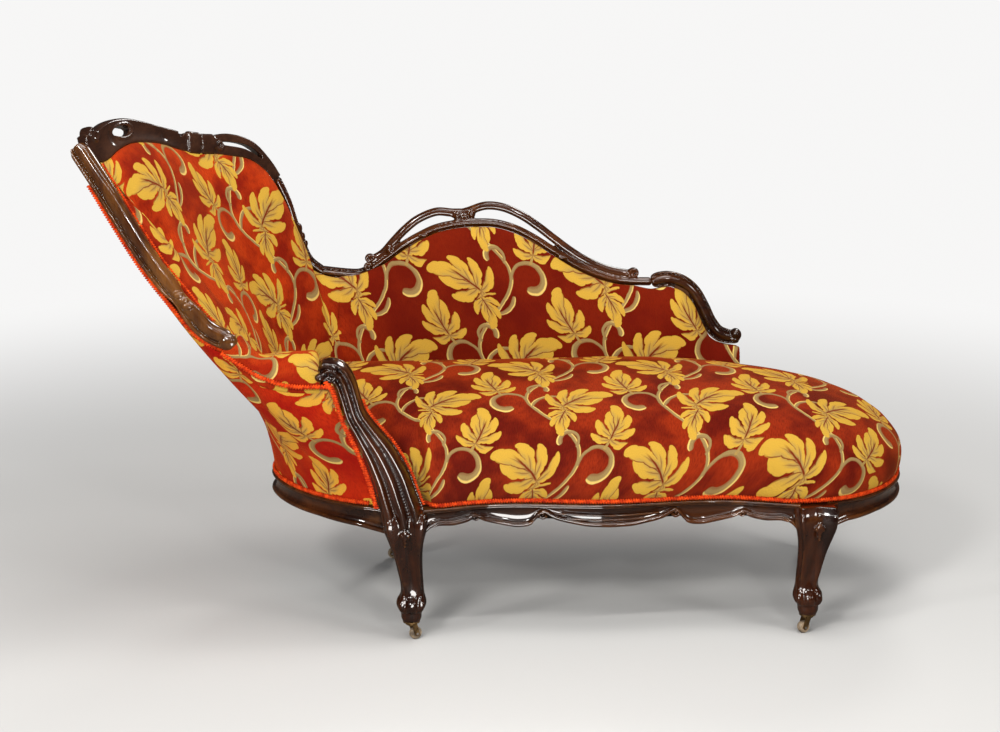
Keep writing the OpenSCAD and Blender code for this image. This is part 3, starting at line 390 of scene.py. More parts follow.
class Graph:
    """Adds nodes to one tree and joins them, so that a material reads as a list of steps."""

    def __init__(self, tree: bpy.types.NodeTree) -> None:
        """Keeps the tree."""
        self.tree = tree

    def put(self, socket: bpy.types.NodeSocket, value: object) -> None:
        """Joins a socket to an input, or sets the input's own value.

        Args:
            socket: The input.
            value: A value of the graph, a number, a vector or a colour.
        """
        if isinstance(value, Value):
            self.tree.links.new(value.socket, socket)
        elif value is not None:
            if isinstance(value, (tuple, list)) and len(value) == 3 and socket.type == "RGBA":
                value = (*value, 1.0)
            socket.default_value = value

    def node(self, kind: str, inputs: dict | None = None, **settings: object) -> bpy.types.Node:
        """Adds a node.

        Args:
            kind: Its type.
            inputs: Values by input name or index.
            settings: Its own settings.

        Returns:
            The node.
        """
        n = self.tree.nodes.new(kind)
        for key, value in settings.items():
            setattr(n, key, value)
        for key, value in (inputs or {}).items():
            self.put(n.inputs[key], value)
        return n

    def add(self, kind: str, inputs: dict | None = None, out: int | str = 0, **settings: object) -> Value:
        """Adds a node as `node` does, and gives its output at `out` as a value."""
        return Value(self, self.node(kind, inputs, **settings).outputs[out])

    def results(self, kind: str, inputs: dict | None = None, **settings: object) -> dict[str, Value]:
        """Adds a node as `node` does, and gives its outputs by name."""
        return {socket.name: Value(self, socket) for socket in self.node(kind, inputs, **settings).outputs}

    def math(self, op: str, a: object, b: object = None, clamp: bool = False) -> Value:
        """One arithmetic step on two values, kept between 0 and 1 if asked."""
        return self.add("ShaderNodeMath", {0: a, 1: b}, operation=op, use_clamp=clamp)

    def vector(self, op: str, a: object, b: object = None) -> Value:
        """One step on vectors."""
        return self.add("ShaderNodeVectorMath", {0: a, 1: b}, operation=op)

    def mix(self, share: object, a: object, b: object) -> Value:
        """Mix of two colours at a share of the second."""
        return self.add("ShaderNodeMix", {0: share, 6: a, 7: b}, 2, data_type="RGBA")

    def blend(self, share: object, a: object, b: object) -> Value:
        """Value between two values at a share of the second."""
        return self.add("ShaderNodeMix", {0: share, 2: a, 3: b}, data_type="FLOAT")

    def ramp(self, value: object, low: float, high: float, first: float = 0.0, last: float = 1.0) -> Value:
        """Smooth step of a value, from `first` at `low` to `last` at `high`."""
        return self.add("ShaderNodeMapRange", {0: value, 1: low, 2: high, 3: first, 4: last},
                        interpolation_type="SMOOTHSTEP")

    def noise(self, vector: object, scale: float, detail: float = 3.0, rough: float = 0.55) -> Value:
        """Noise read at a place."""
        return self.add("ShaderNodeTexNoise", {"Vector": vector, "Scale": scale, "Detail": detail,
                                               "Roughness": rough})

    def combine(self, x: object, y: object, z: object = None) -> Value:
        """Vector of two or three values."""
        return self.add("ShaderNodeCombineXYZ", {0: x, 1: y, 2: z})

    def split(self, vector: object) -> list[Value]:
        """The three parts of a vector."""
        return list(self.results("ShaderNodeSeparateXYZ", {0: vector}).values())

    def turn(self, vector: object, angle: Value) -> Value:
        """Vector turned back by an angle about Z."""
        return self.add("ShaderNodeVectorRotate", {"Vector": vector, "Angle": angle * -1.0},
                        rotation_type="Z_AXIS")

    def shared(self, key: str, **inputs: object) -> dict[str, Value]:
        """Places a shared shader group with its inputs by name, and gives its outputs by name."""
        return self.results("ShaderNodeGroup", inputs, node_tree=Shared.get(key))


class Group(Graph):
    """A node group under construction, with its inputs and outputs listed by name."""

    kinds: dict[str, str] = {"Vector": "Vector", "Stretch": "Vector", "Place": "Vector", "Curve": "Geometry",
                             "Geometry": "Geometry", "Material": "Material"}

    def __init__(self, name: str, inputs: str, outputs: str, tree_kind: str = "ShaderNodeTree") -> None:
        """Starts the group.

        Args:
            name: Its name.
            inputs: Names of its inputs.
            outputs: Names of its outputs.
            tree_kind: Type of its tree.
        """
        tree = bpy.data.node_groups.new(name, tree_kind)
        for names, way in ((inputs, "INPUT"), (outputs, "OUTPUT")):
            for key in names.split():
                kind = "NodeSocket" + self.kinds.get(key, "Float")
                tree.interface.new_socket(key, in_out=way, socket_type=kind)
        super().__init__(tree)
        self.source, self.sink = self.node("NodeGroupInput"), self.node("NodeGroupOutput")

    def read(self, names: str) -> list[Value]:
        """Inputs of the group by their names."""
        return [Value(self, self.source.outputs[key]) for key in names.split()]

    def close(self, **results: object) -> bpy.types.NodeTree:
        """Sets the outputs.

        Args:
            results: Values by output name.

        Returns:
            The finished tree.
        """
        for key, value in results.items():
            self.put(self.sink.inputs[key], value)
        return self.tree


def local_place(g: Group) -> tuple[Value, Value]:
    """Place inside one repeat of the cloth, turned and scaled to an ornament.

    Args:
        g: The ornament's group.

    Returns:
        The place along and across the ornament.
    """
    vector, x, y, angle, size = g.read("Vector X Y Angle Size")
    d = g.vector("SUBTRACT", vector, g.combine(x, y))
    d = g.vector("SUBTRACT", g.vector("FRACTION", g.vector("ADD", d, HALVES)), HALVES)
    d = g.vector("MULTIPLY", d, (1.0, CELL_ASPECT, 0.0))
    p, q, _ = g.split(g.turn(d, angle))
    return p / size, q / size


def spot_group() -> bpy.types.NodeTree:
    """Place on the leaf that stands at one spot of the cloth's repeat, and how far off that leaf is.

    Returns:
        The group.
    """
    g = Group("Leaf spot", "Vector X Y Angle Size Width Hand", "Place Far")
    width, hand = g.read("Width Hand")
    p, q = local_place(g)
    q = q * hand / width
    return g.close(Place=g.combine(p + 0.5, q), Far=g.math("SQRT", p * p + q * q))


@dataclass(frozen=True)
class Lobe:
    """One lobe of a leaf: where it springs from, its angle in degrees, length, half breadth and bend."""

    x: float
    y: float
    angle: float
    length: float
    half: float
    bend: float


LEAF_LOBES = (
    Lobe(-0.02, 0.0, 0, 0.70, 0.27, 0.05),
    Lobe(0.06, 0.0, 124, 0.38, 0.155, -0.6), Lobe(0.07, 0.0, -120, 0.43, 0.17, 0.6),
    Lobe(0.14, 0.0, 86, 0.49, 0.185, -0.45), Lobe(0.16, 0.0, -80, 0.46, 0.175, 0.45),
    Lobe(0.26, 0.0, 52, 0.52, 0.185, -0.4), Lobe(0.28, 0.0, -46, 0.50, 0.18, 0.4),
    Lobe(0.34, 0.0, 3, 0.67, 0.22, 0.22))


def lobe_group() -> bpy.types.NodeTree:
    """One lobe of a leaf: its mask, the dark line on its lower side and its shaded root.

    Returns:
        The group.
    """
    g = Group("Leaf lobe", "Vector X Y Angle Length Half Bend", "Mask Line Shade")
    vector, x, y, angle, length, breadth, bend = g.read("Vector X Y Angle Length Half Bend")
    p, q, _ = g.split(g.turn(g.vector("SUBTRACT", vector, g.combine(x, y)), angle))
    along = p / length
    inside = g.math("MAXIMUM", g.math("MINIMUM", along, 1.0), 0.0)
    off = q - bend * length * (inside * inside)
    tip = g.math("SQRT", 1.0 - inside ** 5.0)
    scallop = abs(g.math("SINE", inside * (2.6 * math.pi) + -0.35))
    half = breadth * (scallop ** 0.6 * 0.22 + 0.78) * (inside ** 0.6 * tip)
    depth = half - abs(off)
    mask = g.ramp(depth, -0.002, 0.010) * g.ramp(along, 0.0, 0.03)
    lower = off * g.math("SIGN", bend)
    line = g.ramp(depth, 0.030, 0.008) * g.ramp(lower, 0.0, 0.02) * g.ramp(along, 0.86, 0.62)
    vein = g.ramp(abs(off), 0.013, 0.003) * g.ramp(along, 0.66, 0.35, 0.0, 0.55)
    halo = g.ramp(abs(off), 0.05, 0.012) * g.ramp(along, 0.62, 0.3, 0.0, 0.8)
    shade = g.ramp(lower / breadth, 0.0, 0.6) * g.ramp(along, 0.78, 0.4)
    return g.close(Mask=mask, Line=g.math("MAXIMUM", line, vein), Shade=g.math("MAXIMUM", shade, halo))


def leaf_group() -> bpy.types.NodeTree:
    """Lobed leaf of the cloth from its stalk at nought to its tip at one, lobes lapped from the stalk up.

    Returns:
        The group.
    """
    g = Group("Lobed leaf", "Vector", "Mask Vein Shade")
    p, q, _ = g.split(g.read("Vector")[0])
    q = q - (p * p - p) * 0.16
    place = g.combine(p, q)
    mask, line, shade = 0.0, 0.0, 0.0
    for lobe in LEAF_LOBES:
        n = g.shared("lobe", Vector=place, X=lobe.x, Y=lobe.y, Angle=math.radians(lobe.angle),
                     Length=lobe.length, Half=lobe.half, Bend=lobe.bend)
        line = g.blend(n["Mask"], line, n["Line"])
        shade = g.blend(n["Mask"], shade, n["Shade"])
        mask = g.math("MAXIMUM", mask, n["Mask"])
    across = abs(q)
    rib = g.ramp(across, 0.024, 0.010) * (g.ramp(p, 0.03, 0.12) * g.ramp(p, 0.74, 0.5))
    root = g.ramp(across, 0.09, 0.02) * (g.ramp(p, 0.04, 0.15) * g.ramp(p, 0.66, 0.4))
    stalk = g.ramp(across, 0.034, 0.022) * (g.ramp(p, 0.12, 0.08) * g.ramp(p, -0.16, -0.12))
    shade = g.math("MAXIMUM", g.math("MAXIMUM", shade, root), stalk - mask)
    return g.close(Mask=g.math("MAXIMUM", mask, stalk), Vein=mask * g.math("MAXIMUM", line, rib), Shade=shade)


def stem_group() -> bpy.types.NodeTree:
    """Main stem of the cloth that waves up through every repeat: a mask and its pale side.

    Returns:
        The group.
    """
    g = Group("Main stem", "Vector Swing Half", "Mask Rim")
    vector, swing, thin = g.read("Vector Swing Half")
    x, y, _ = g.split(vector)
    phase = y * (2 * math.pi)
    off = g.math("FRACT", x - swing * g.math("SINE", phase)) - 0.5
    half = thin * (abs(g.math("COSINE", phase)) * 0.45 + 1.0)
    mask = g.ramp(half - abs(off), -0.004, 0.004)
    return g.close(Mask=mask, Rim=mask * g.ramp(off / half, 0.1, 0.8))


def tendril_group() -> bpy.types.NodeTree:
    """Curved stem or hooked scroll of the cloth: a mask, a pale rim outside and a shaded inner side.

    Returns:
        The group.
    """
    g = Group("Tendril", "Vector X Y Angle Size Hand Sweep Turn Thin Thick", "Mask Rim Shade")
    hand, sweep, turn, thin, thick = g.read("Hand Sweep Turn Thin Thick")
    p, q = local_place(g)
    q = q * hand
    along = g.math("FRACT", g.math("ARCTAN2", q, p) / (2 * math.pi)) / sweep
    tip = g.math("MAXIMUM", 0.0, (along - 0.84) / 0.16)
    half = (thin + along ** 1.6 * (thick - thin)) * g.math("SQRT", g.math("MAXIMUM", 0.0, 1.0 - tip * tip))
    off = g.math("SQRT", p * p + q * q) - (1.0 - along * turn)
    side = off / half
    ends = g.ramp(along, 1.0, 0.97) * g.math("GREATER_THAN", 1.0, along)
    mask = g.ramp(half - abs(off), -0.01, 0.02) * ends
    return g.close(Mask=mask, Rim=mask * (g.ramp(side, 0.3, 0.62) * g.ramp(along, 0.35, 0.7)),
                   Shade=mask * g.ramp(side, -0.2, -0.85))


def grain_group() -> bpy.types.NodeTree:
    """Straight wood grain with pores, as a colour share and a height.

    Returns:
        The group.
    """
    g = Group("Wood grain", "Vector Stretch", "Figure Pores Smudge")
    vector, stretch = g.read("Vector Stretch")
    place = g.vector("MULTIPLY", vector, stretch)
    figure = g.noise(place, 9.0, 4.0, 0.6) * 0.7 + g.noise(place, 60.0, 3.0, 0.7) * 0.3
    return g.close(Figure=g.ramp(figure, 0.36, 0.66), Pores=g.ramp(g.noise(place, 210.0, 1.0), 0.62, 0.75),
                   Smudge=g.noise(vector, 14.0, 4.0, 0.6))


def wear_group() -> bpy.types.NodeTree:
    """Rubbed edges and hollows from the surface's own sharpness; the wood darkens its hollows as painted
    shade, the metal fills them with tarnish.

    Returns:
        The group.
    """
    g = Group("Edge wear and hollows", "Vector Amount", "Edge Hollow")
    vector, amount = g.read("Vector Amount")
    sharp = g.add("ShaderNodeNewGeometry", None, "Pointiness")
    broken = g.ramp(g.noise(vector, 38.0, 5.0, 0.65), 0.35, 0.7)
    edge = g.math("MULTIPLY", g.ramp(sharp, 0.515, 0.6), broken * amount, clamp=True)
    return g.close(Edge=edge, Hollow=g.ramp(sharp, 0.49, 0.42))


def weave_group() -> bpy.types.NodeTree:
    """Ribbed chenille pile as a height and a mottled shade.

    Returns:
        The group.
    """
    g = Group("Weave", "Vector Pitch", "Height Mottle")
    vector, pitch = g.read("Vector Pitch")
    scaled = g.vector("DIVIDE", vector, g.combine(pitch, pitch, 1.0))
    x, y, _ = g.split(scaled)
    warp = g.noise(g.vector("MULTIPLY", scaled, (0.9, 0.16, 1.0)), 1.0, 2.0, 0.6)
    rib = abs(g.math("SINE", x * math.pi + warp * 2.2))
    weft = abs(g.math("SINE", y * (math.pi * 0.8)))
    return g.close(Height=rib * 0.6 + weft * 0.4 + warp * 0.5, Mottle=warp)


class Shared:
    """The shader groups that more than one finish uses, each built once."""

    trees: dict[str, bpy.types.NodeTree] = {}
    makers: dict[str, Callable[[], bpy.types.NodeTree]] = {
        "spot": spot_group, "lobe": lobe_group, "leaf": leaf_group, "stem": stem_group,
        "tendril": tendril_group, "grain": grain_group, "wear": wear_group, "weave": weave_group}

    @classmethod
    def get(cls, key: str) -> bpy.types.NodeTree:
        """A group's tree, made when first asked for.

        Args:
            key: Which group.

        Returns:
            The tree.
        """
        if key not in cls.trees:
            cls.trees[key] = cls.makers[key]()
        return cls.trees[key]


class Surface(Graph):
    """A material under construction: a graph that ends in one Principled shader."""

    def __init__(self, name: str, colour: Colour) -> None:
        """Starts the material.

        Args:
            name: Its name.
            colour: Colour for plain views.
        """
        self.material = bpy.data.materials.new(name)
        self.material.use_nodes = True
        self.material.diffuse_color = (*colour, 1)
        self.material.node_tree.nodes.clear()
        super().__init__(self.material.node_tree)
        self.shader = self.node("ShaderNodeBsdfPrincipled")
        self.end = self.node("ShaderNodeOutputMaterial", {0: Value(self, self.shader.outputs[0])})

    def place(self) -> Value:
        """Place on the object."""
        return self.add("ShaderNodeTexCoord", None, "Object")

    def close(self, settings: dict[str, object], height: Value, strength: float,
              distance: float) -> bpy.types.Material:
        """Sets the shader's inputs and its bump.

        Args:
            settings: Values by input name.
            height: Height of the surface.
            strength: Strength of the bump.
            distance: Its depth in metres.

        Returns:
            The finished material.
        """
        normal = self.add("ShaderNodeBump", {"Strength": strength, "Distance": distance, "Height": height})
        for key, value in {**settings, "Normal": normal}.items():
            self.put(self.shader.inputs[key], value)
        return self.material


def scaled(colour: Colour, share: float) -> Colour:
    """A colour made darker or paler."""
    return tuple(min(1.0, part * share) for part in colour)


class Grain(Enum):
    """Which way the wood's grain runs, as the stretch of its pattern."""

    ALONG_X = (0.09, 1.0, 1.0)
    ALONG_Y = (1.0, 0.09, 1.0)
    ALONG_Z = (1.0, 1.0, 0.09)


@dataclass(frozen=True)
class WoodFinish:
    """Polished or plain wood."""

    name: str
    dark: Colour
    light: Colour
    worn: Colour
    rough: float
    coat: float
    wear: float
    grain: Grain

    def build(self) -> bpy.types.Material:
        """Makes the material.

        Returns:
            The material.
        """
        g = Surface(self.name, self.light)
        place = g.place()
        grain = g.shared("grain", Vector=place, Stretch=self.grain.value)
        wear = g.shared("wear", Vector=place, Amount=self.wear)
        colour = g.mix(grain["Figure"], self.dark, self.light)
        colour = g.mix(grain["Pores"] * 0.5, colour, self.dark)
        colour = g.mix(g.ramp(grain["Smudge"], 0.58, 0.78, 0.0, 0.35), colour, self.worn)
        colour = g.mix(wear["Edge"], colour, self.worn)
        # Painted shade: hollows darkened towards a deeper shade of the dark colour.
        colour = g.mix(wear["Hollow"] * 0.6, colour, scaled(self.dark, 0.35))
        rough = grain["Smudge"] * 0.16 + self.rough + wear["Edge"] * 0.1
        return g.close({"Base Color": colour, "Roughness": rough, "Coat Weight": self.coat,
                        "Coat Roughness": 0.045, "Specular IOR Level": 0.08, "Coat IOR": 1.5},
                       grain["Figure"] * 0.25 - grain["Pores"], 0.12, 0.0004)


@dataclass(frozen=True)
class Leaf:
    """One leaf of the cloth's repeat: middle, angle in degrees, length, breadth and hand."""

    x: float
    y: float
    angle: float
    size: float
    width: float
    hand: int


@dataclass(frozen=True)
class Tendril:
    """One stem or scroll of the cloth's repeat."""

    x: float
    y: float
    angle: float
    size: float
    hand: int
    sweep: float
    turn: float
    thin: float
    thick: float


@dataclass(frozen=True)
class LeafCloth:
    """Chenille with gold leaves and grey-brown tendrils on a red ground."""

    name: str
    ground: Colour
    glow: Colour
    gold: Colour = (0.58, 0.34, 0.042)
    vein: Colour = (0.17, 0.02, 0.006)
    taupe: Colour = (0.30, 0.20, 0.075)
    cream: Colour = (0.74, 0.52, 0.14)
    repeat: float = 0.28
    pitch: float = 0.0017
    shift: tuple[float, float] = (0.0, 0.0)
    side_shade: float = 0.0
    leaves: tuple[Leaf, ...] = (
        Leaf(0.27, 0.24, 142, 0.45, 0.94, 1), Leaf(0.73, 0.74, 38, 0.45, 0.94, -1),
        Leaf(0.965, 0.49, 72, 0.38, 0.9, 1), Leaf(0.035, 0.99, 108, 0.38, 0.9, -1),
        Leaf(0.55, 0.51, 250, 0.27, 0.92, 1), Leaf(0.45, 0.01, 290, 0.27, 0.92, -1))
    tendrils: tuple[Tendril, ...] = (
        Tendril(0.845, 0.21, 180, 0.145, -1, 0.84, 0.42, 0.08, 0.30),
        Tendril(0.155, 0.71, 0, 0.145, 1, 0.84, 0.42, 0.08, 0.30),
        Tendril(0.60, 0.36, 320, 0.085, 1, 0.70, 0.30, 0.12, 0.34),
        Tendril(0.40, 0.86, 220, 0.085, -1, 0.70, 0.30, 0.12, 0.34),
        Tendril(0.52, 0.13, 200, 0.17, 1, 0.42, 0.05, 0.07, 0.12),
        Tendril(0.50, 0.63, 20, 0.17, 1, 0.42, 0.05, 0.07, 0.12))

    def ground_colour(self, g: Surface, uv: Value, mottle: Value) -> Value:
        """Colour of the red ground, with painted shade towards the side back where asked.

        Args:
            g: The material.
            uv: Place on the cloth.
            mottle: Shade of the pile.

        Returns:
            The colour.
        """
        colour = g.mix(g.ramp(g.noise(uv, 7.0, 3.0, 0.6), 0.38, 0.62), self.ground, self.glow)
        along = g.split(g.place())[0]
        # Painted shade: the ground darkens towards half its colour from x = -0.52 to the side back past x =
        # -0.22.
        colour = g.mix(g.ramp(along, -0.52, -0.22, 0.0, self.side_shade), colour, scaled(self.ground, 0.5))
        return g.mix(g.ramp(mottle, 0.4, 0.7, 0.0, 0.45), colour, scaled(self.ground, 0.45))

    def nearest_leaf(self, g: Surface, cell: Value) -> Value:
        """Place on the leaf that is nearest.

        Args:
            g: The material.
            cell: Place in the repeat.

        Returns:
            The place along and across that leaf.
        """
        place, far = None, None
        for leaf in self.leaves:
            n = g.shared("spot", Vector=cell, X=leaf.x, Y=leaf.y, Angle=math.radians(leaf.angle),
                         Size=leaf.size, Width=leaf.width, Hand=float(leaf.hand))
            if far is None:
                place, far = n["Place"], n["Far"]
                continue
            place = g.mix(g.math("LESS_THAN", n["Far"], far), place, n["Place"])
            far = g.math("MINIMUM", far, n["Far"])
        return place

    def build(self) -> bpy.types.Material:
        """Makes the material on the piece's own cloth map, in metres.

        Returns:
            The material.
        """
        g = Surface(self.name, self.ground)
        uv = g.add("ShaderNodeUVMap", uv_map=CLOTH_UV)
        cell = g.vector("MULTIPLY", uv, (1 / self.repeat, 1 / self.repeat / CELL_ASPECT, 0.0))
        cell = g.vector("ADD", cell, (*self.shift, 0.0))
        ripple = g.add("ShaderNodeTexNoise", {"Vector": uv, "Scale": 55.0, "Detail": 2.0}, "Color")
        ripple = g.vector("MULTIPLY", g.vector("SUBTRACT", ripple, HALVES), (0.012, 0.012, 0.0))
        cell = g.vector("ADD", cell, ripple)
        weave = g.shared("weave", Vector=uv, Pitch=self.pitch)
        colour = self.ground_colour(g, uv, weave["Mottle"])
        n = g.shared("stem", Vector=cell, Swing=0.2, Half=0.0125)
        colour = g.mix(n["Mask"], colour, g.mix(n["Rim"], self.taupe, self.cream))
        for t in self.tendrils:
            n = g.shared("tendril", Vector=cell, X=t.x, Y=t.y, Angle=math.radians(t.angle), Size=t.size,
                         Hand=float(t.hand), Sweep=t.sweep, Turn=t.turn, Thin=t.thin, Thick=t.thick)
            tint = g.mix(n["Rim"], g.mix(n["Shade"] * 0.45, self.taupe, self.vein), self.cream)
            colour = g.mix(n["Mask"], colour, tint)
        n = g.shared("leaf", Vector=self.nearest_leaf(g, cell))
        tint = g.mix(n["Vein"], g.mix(n["Shade"] * 0.8, self.gold, self.taupe), self.vein)
        colour = g.mix(n["Mask"], colour, tint)
        speck = g.ramp(g.noise(uv, 900.0, 1.0), 0.3, 0.75, 0.82, 1.12)
        colour = g.add("ShaderNodeVectorMath", {0: colour, "Scale": speck}, operation="SCALE")
        return g.close({"Base Color": colour, "Roughness": 0.9, "Specular IOR Level": 0.06,
                        "Sheen Weight": 0.22, "Sheen Roughness": 0.35, "Sheen Tint": (1.0, 0.22, 0.02)},
                       weave["Height"], 0.55, 0.0007)


@dataclass(frozen=True)
class ThreadFinish:
    """Plain woven or corded thread: braid, webbing, hessian and dust cloth."""

    name: str
    colour: Colour
    dark: Colour
    scale: float
    rough: float = 0.85
    sheen: float = 0.4

    def build(self) -> bpy.types.Material:
        """Makes the material.

        Returns:
            The material.
        """
        g = Surface(self.name, self.colour)
        place = g.place()
        x, y, z = g.split(g.vector("MULTIPLY", place, (self.scale,) * 3))
        thread = g.math("MAXIMUM", abs(g.math("SINE", x)), abs(g.math("SINE", y + z)))
        shade = g.ramp(g.noise(place, 90.0, 4.0, 0.65), 0.3, 0.7) * g.ramp(thread, 0.2, 0.9, 0.5, 1.0)
        return g.close({"Base Color": g.mix(shade, self.dark, self.colour), "Roughness": self.rough,
                        "Specular IOR Level": 0.1, "Sheen Weight": self.sheen, "Sheen Tint": self.colour},
                       thread, 0.5, 0.0004)


@dataclass(frozen=True)
class MetalFinish:
    """Aged metal with dark tarnish in its hollows."""

    name: str
    colour: Colour
    tarnish: Colour
    rough: float
    metallic: float = 1.0

    def build(self) -> bpy.types.Material:
        """Makes the material.

        Returns:
            The material.
        """
        g = Surface(self.name, self.colour)
        place = g.place()
        wear = g.shared("wear", Vector=place, Amount=0.8)
        stain = g.ramp(g.noise(place, 70.0, 5.0, 0.65), 0.4, 0.65)
        colour = g.mix(wear["Hollow"], g.mix(stain, self.colour, self.tarnish), self.tarnish)
        colour = g.mix(wear["Edge"], colour, scaled(self.colour, 1.7))
        return g.close({"Base Color": colour, "Roughness": stain * 0.25 + self.rough,
                        "Metallic": self.metallic}, g.noise(place, 400.0, 3.0), 0.2, 0.0003)


class Finishes:
    """All finishes of the couch, each built once when first asked for."""

    table: dict[str, object] = {
        "wood_x": WoodFinish("Mahogany along", (0.013, 0.0030, 0.0010), (0.082, 0.022, 0.0048),
                             (0.24, 0.085, 0.018), 0.22, 1.0, 0.7, Grain.ALONG_X),
        # A darker copy of the mahogany along: painted shade, as the legs and post stand in dim light.
        "wood_z_shaded": WoodFinish("Mahogany upright", (0.008, 0.0014, 0.0005), (0.058, 0.0130, 0.0025),
                             (0.25, 0.09, 0.016), 0.22, 1.0, 0.7, Grain.ALONG_Z),
        "wood_crest": WoodFinish("Mahogany crest", (0.020, 0.0075, 0.0045), (0.062, 0.024, 0.012),
                                 (0.17, 0.075, 0.035), 0.26, 0.9, 0.8, Grain.ALONG_Y),
        # A paler, golden copy of the mahogany: painted light on the stile's face.
        "wood_stile_lit": WoodFinish("Mahogany stile", (0.045, 0.013, 0.0035), (0.17, 0.062, 0.013),
                                 (0.34, 0.15, 0.035), 0.2, 1.0, 0.8, Grain.ALONG_Z),
        "frame_wood": WoodFinish("Stained beech", (0.030, 0.011, 0.004), (0.095, 0.036, 0.012),
                                 (0.18, 0.08, 0.032), 0.6, 0.0, 0.4, Grain.ALONG_X),
        # The seat, head and arm cloths are one fabric: their grounds differ as painted light and shade,
        # darkest on the seat, paler on the arm and head.
        "seat_cloth": LeafCloth("Leaf cloth seat", (0.12, 0.006, 0.002), (0.30, 0.024, 0.004),
                                shift=(0.16, 0.02)),
        "head_cloth": LeafCloth("Leaf cloth head", (0.23, 0.010, 0.002), (0.52, 0.042, 0.004),
                                shift=(0.35, 0.1), side_shade=0.85),
        "outside_cloth": LeafCloth("Leaf cloth outside", (0.36, 0.006, 0.002), (0.52, 0.024, 0.003),
                                   gold=(0.72, 0.36, 0.04), shift=(0.4, 0.3)),
        "arm_cloth": LeafCloth("Leaf cloth arm", (0.30, 0.013, 0.002), (0.50, 0.045, 0.005),
                               shift=(0.7, 0.55)),
        "gimp": ThreadFinish("Gimp braid", (0.86, 0.085, 0.008), (0.34, 0.014, 0.002), 2600.0, 0.9, 0.1),
        "webbing": ThreadFinish("Jute webbing", (0.50, 0.37, 0.21), (0.28, 0.19, 0.1), 1500.0),
        "hessian": ThreadFinish("Hessian", (0.46, 0.35, 0.2), (0.25, 0.18, 0.09), 1900.0),
        "dust": ThreadFinish("Dust cloth", (0.035, 0.03, 0.027), (0.015, 0.013, 0.012), 2500.0, 0.95, 0.1),
        "brass": MetalFinish("Aged brass", (0.20, 0.12, 0.05), (0.045, 0.028, 0.014), 0.34),
        "steel": MetalFinish("Dull steel", (0.38, 0.36, 0.34), (0.12, 0.10, 0.09), 0.35),
        "china": MetalFinish("Worn china", (0.30, 0.22, 0.14), (0.10, 0.07, 0.045), 0.28, 0.0)}
    made: dict[str, bpy.types.Material] = {}

    @classmethod
    def get(cls, key: str) -> bpy.types.Material:
        """A finish's material, made when first asked for.

        Args:
            key: Which finish.

        Returns:
            The material.
        """
        if key not in cls.made:
            cls.made[key] = cls.table[key].build()
        return cls.made[key]


def new_object(name: str, data: bpy.types.ID) -> bpy.types.Object:
    """Links a new object to the scene at the origin.

    Args:
        name: Its name.
        data: Its mesh, curve or light.

    Returns:
        The object.
    """
    obj = bpy.data.objects.new(name, data)
    bpy.context.scene.collection.objects.link(obj)
    return obj


def shade_smooth(mesh: bpy.types.Mesh) -> None:
    """Makes every face of a mesh shade smoothly."""
    mesh.polygons.foreach_set("use_smooth", [True] * len(mesh.polygons))


def skin(rings: Array, uv: Array | None = None, name: str = "skin") -> bpy.types.Mesh:
    """Mesh through closed rings of points, closed at both ends.

    Args:
        rings: Points, ring by ring.
        uv: Cloth map of each point, in metres.
        name: Name of the mesh.

    Returns:
        The mesh.
    """
    n, k = rings.shape[:2]
    faces = [(i * k + j, i * k + (j + 1) % k, (i + 1) * k + (j + 1) % k, (i + 1) * k + j)
             for i in range(n - 1) for j in range(k)]
    faces += [tuple(range(k))[::-1], tuple(range((n - 1) * k, n * k))]
    mesh = bpy.data.meshes.new(name)
    mesh.from_pydata(rings.reshape(-1, 3).tolist(), [], faces)
    if uv is not None:
        layer = mesh.uv_layers.new(name=CLOTH_UV)
        index = np.empty(len(mesh.loops), int)
        mesh.loops.foreach_get("vertex_index", index)
        layer.data.foreach_set("uv", uv.reshape(-1, 2)[index].ravel())
    return mesh


def tidy(mesh: bpy.types.Mesh) -> bpy.types.Mesh:
    """Welds doubles and turns the faces outwards.

    Args:
        mesh: The mesh, changed in place.

    Returns:
        The mesh.
    """
    bm = bmesh.new()
    bm.from_mesh(mesh)
    bmesh.ops.remove_doubles(bm, verts=bm.verts, dist=1e-5)
    bmesh.ops.dissolve_degenerate(bm, edges=bm.edges, dist=1e-7)
    bmesh.ops.recalc_face_normals(bm, faces=bm.faces)
    bm.to_mesh(mesh)
    bm.free()
    shade_smooth(mesh)
    return mesh


def join(meshes: Sequence[bpy.types.Mesh], name: str) -> bpy.types.Mesh:
    """Joins meshes into one.

    Args:
        meshes: What is joined.
        name: Name of the result.

    Returns:
        The joined mesh.
    """
    bm = bmesh.new()
    for mesh in meshes:
        bm.from_mesh(mesh)
    result = bpy.data.meshes.new(name)
    bm.to_mesh(result)
    bm.free()
    return result


def evaluated(obj: bpy.types.Object) -> bpy.types.Mesh:
    """The object's mesh with its modifiers applied, and the object taken away.

    Args:
        obj: The object.

    Returns:
        The mesh.
    """
    mesh = bpy.data.meshes.new_from_object(obj.evaluated_get(bpy.context.evaluated_depsgraph_get()))
    bpy.data.objects.remove(obj)
    return mesh


def modify(obj: bpy.types.Object, kind: str, **settings: object) -> None:
    """Adds a modifier.

    Args:
        obj: The object.
        kind: Type of the modifier.
        settings: Its settings.
    """
    modifier = obj.modifiers.new(kind.title(), kind)
    for key, value in settings.items():
        setattr(modifier, key, value)


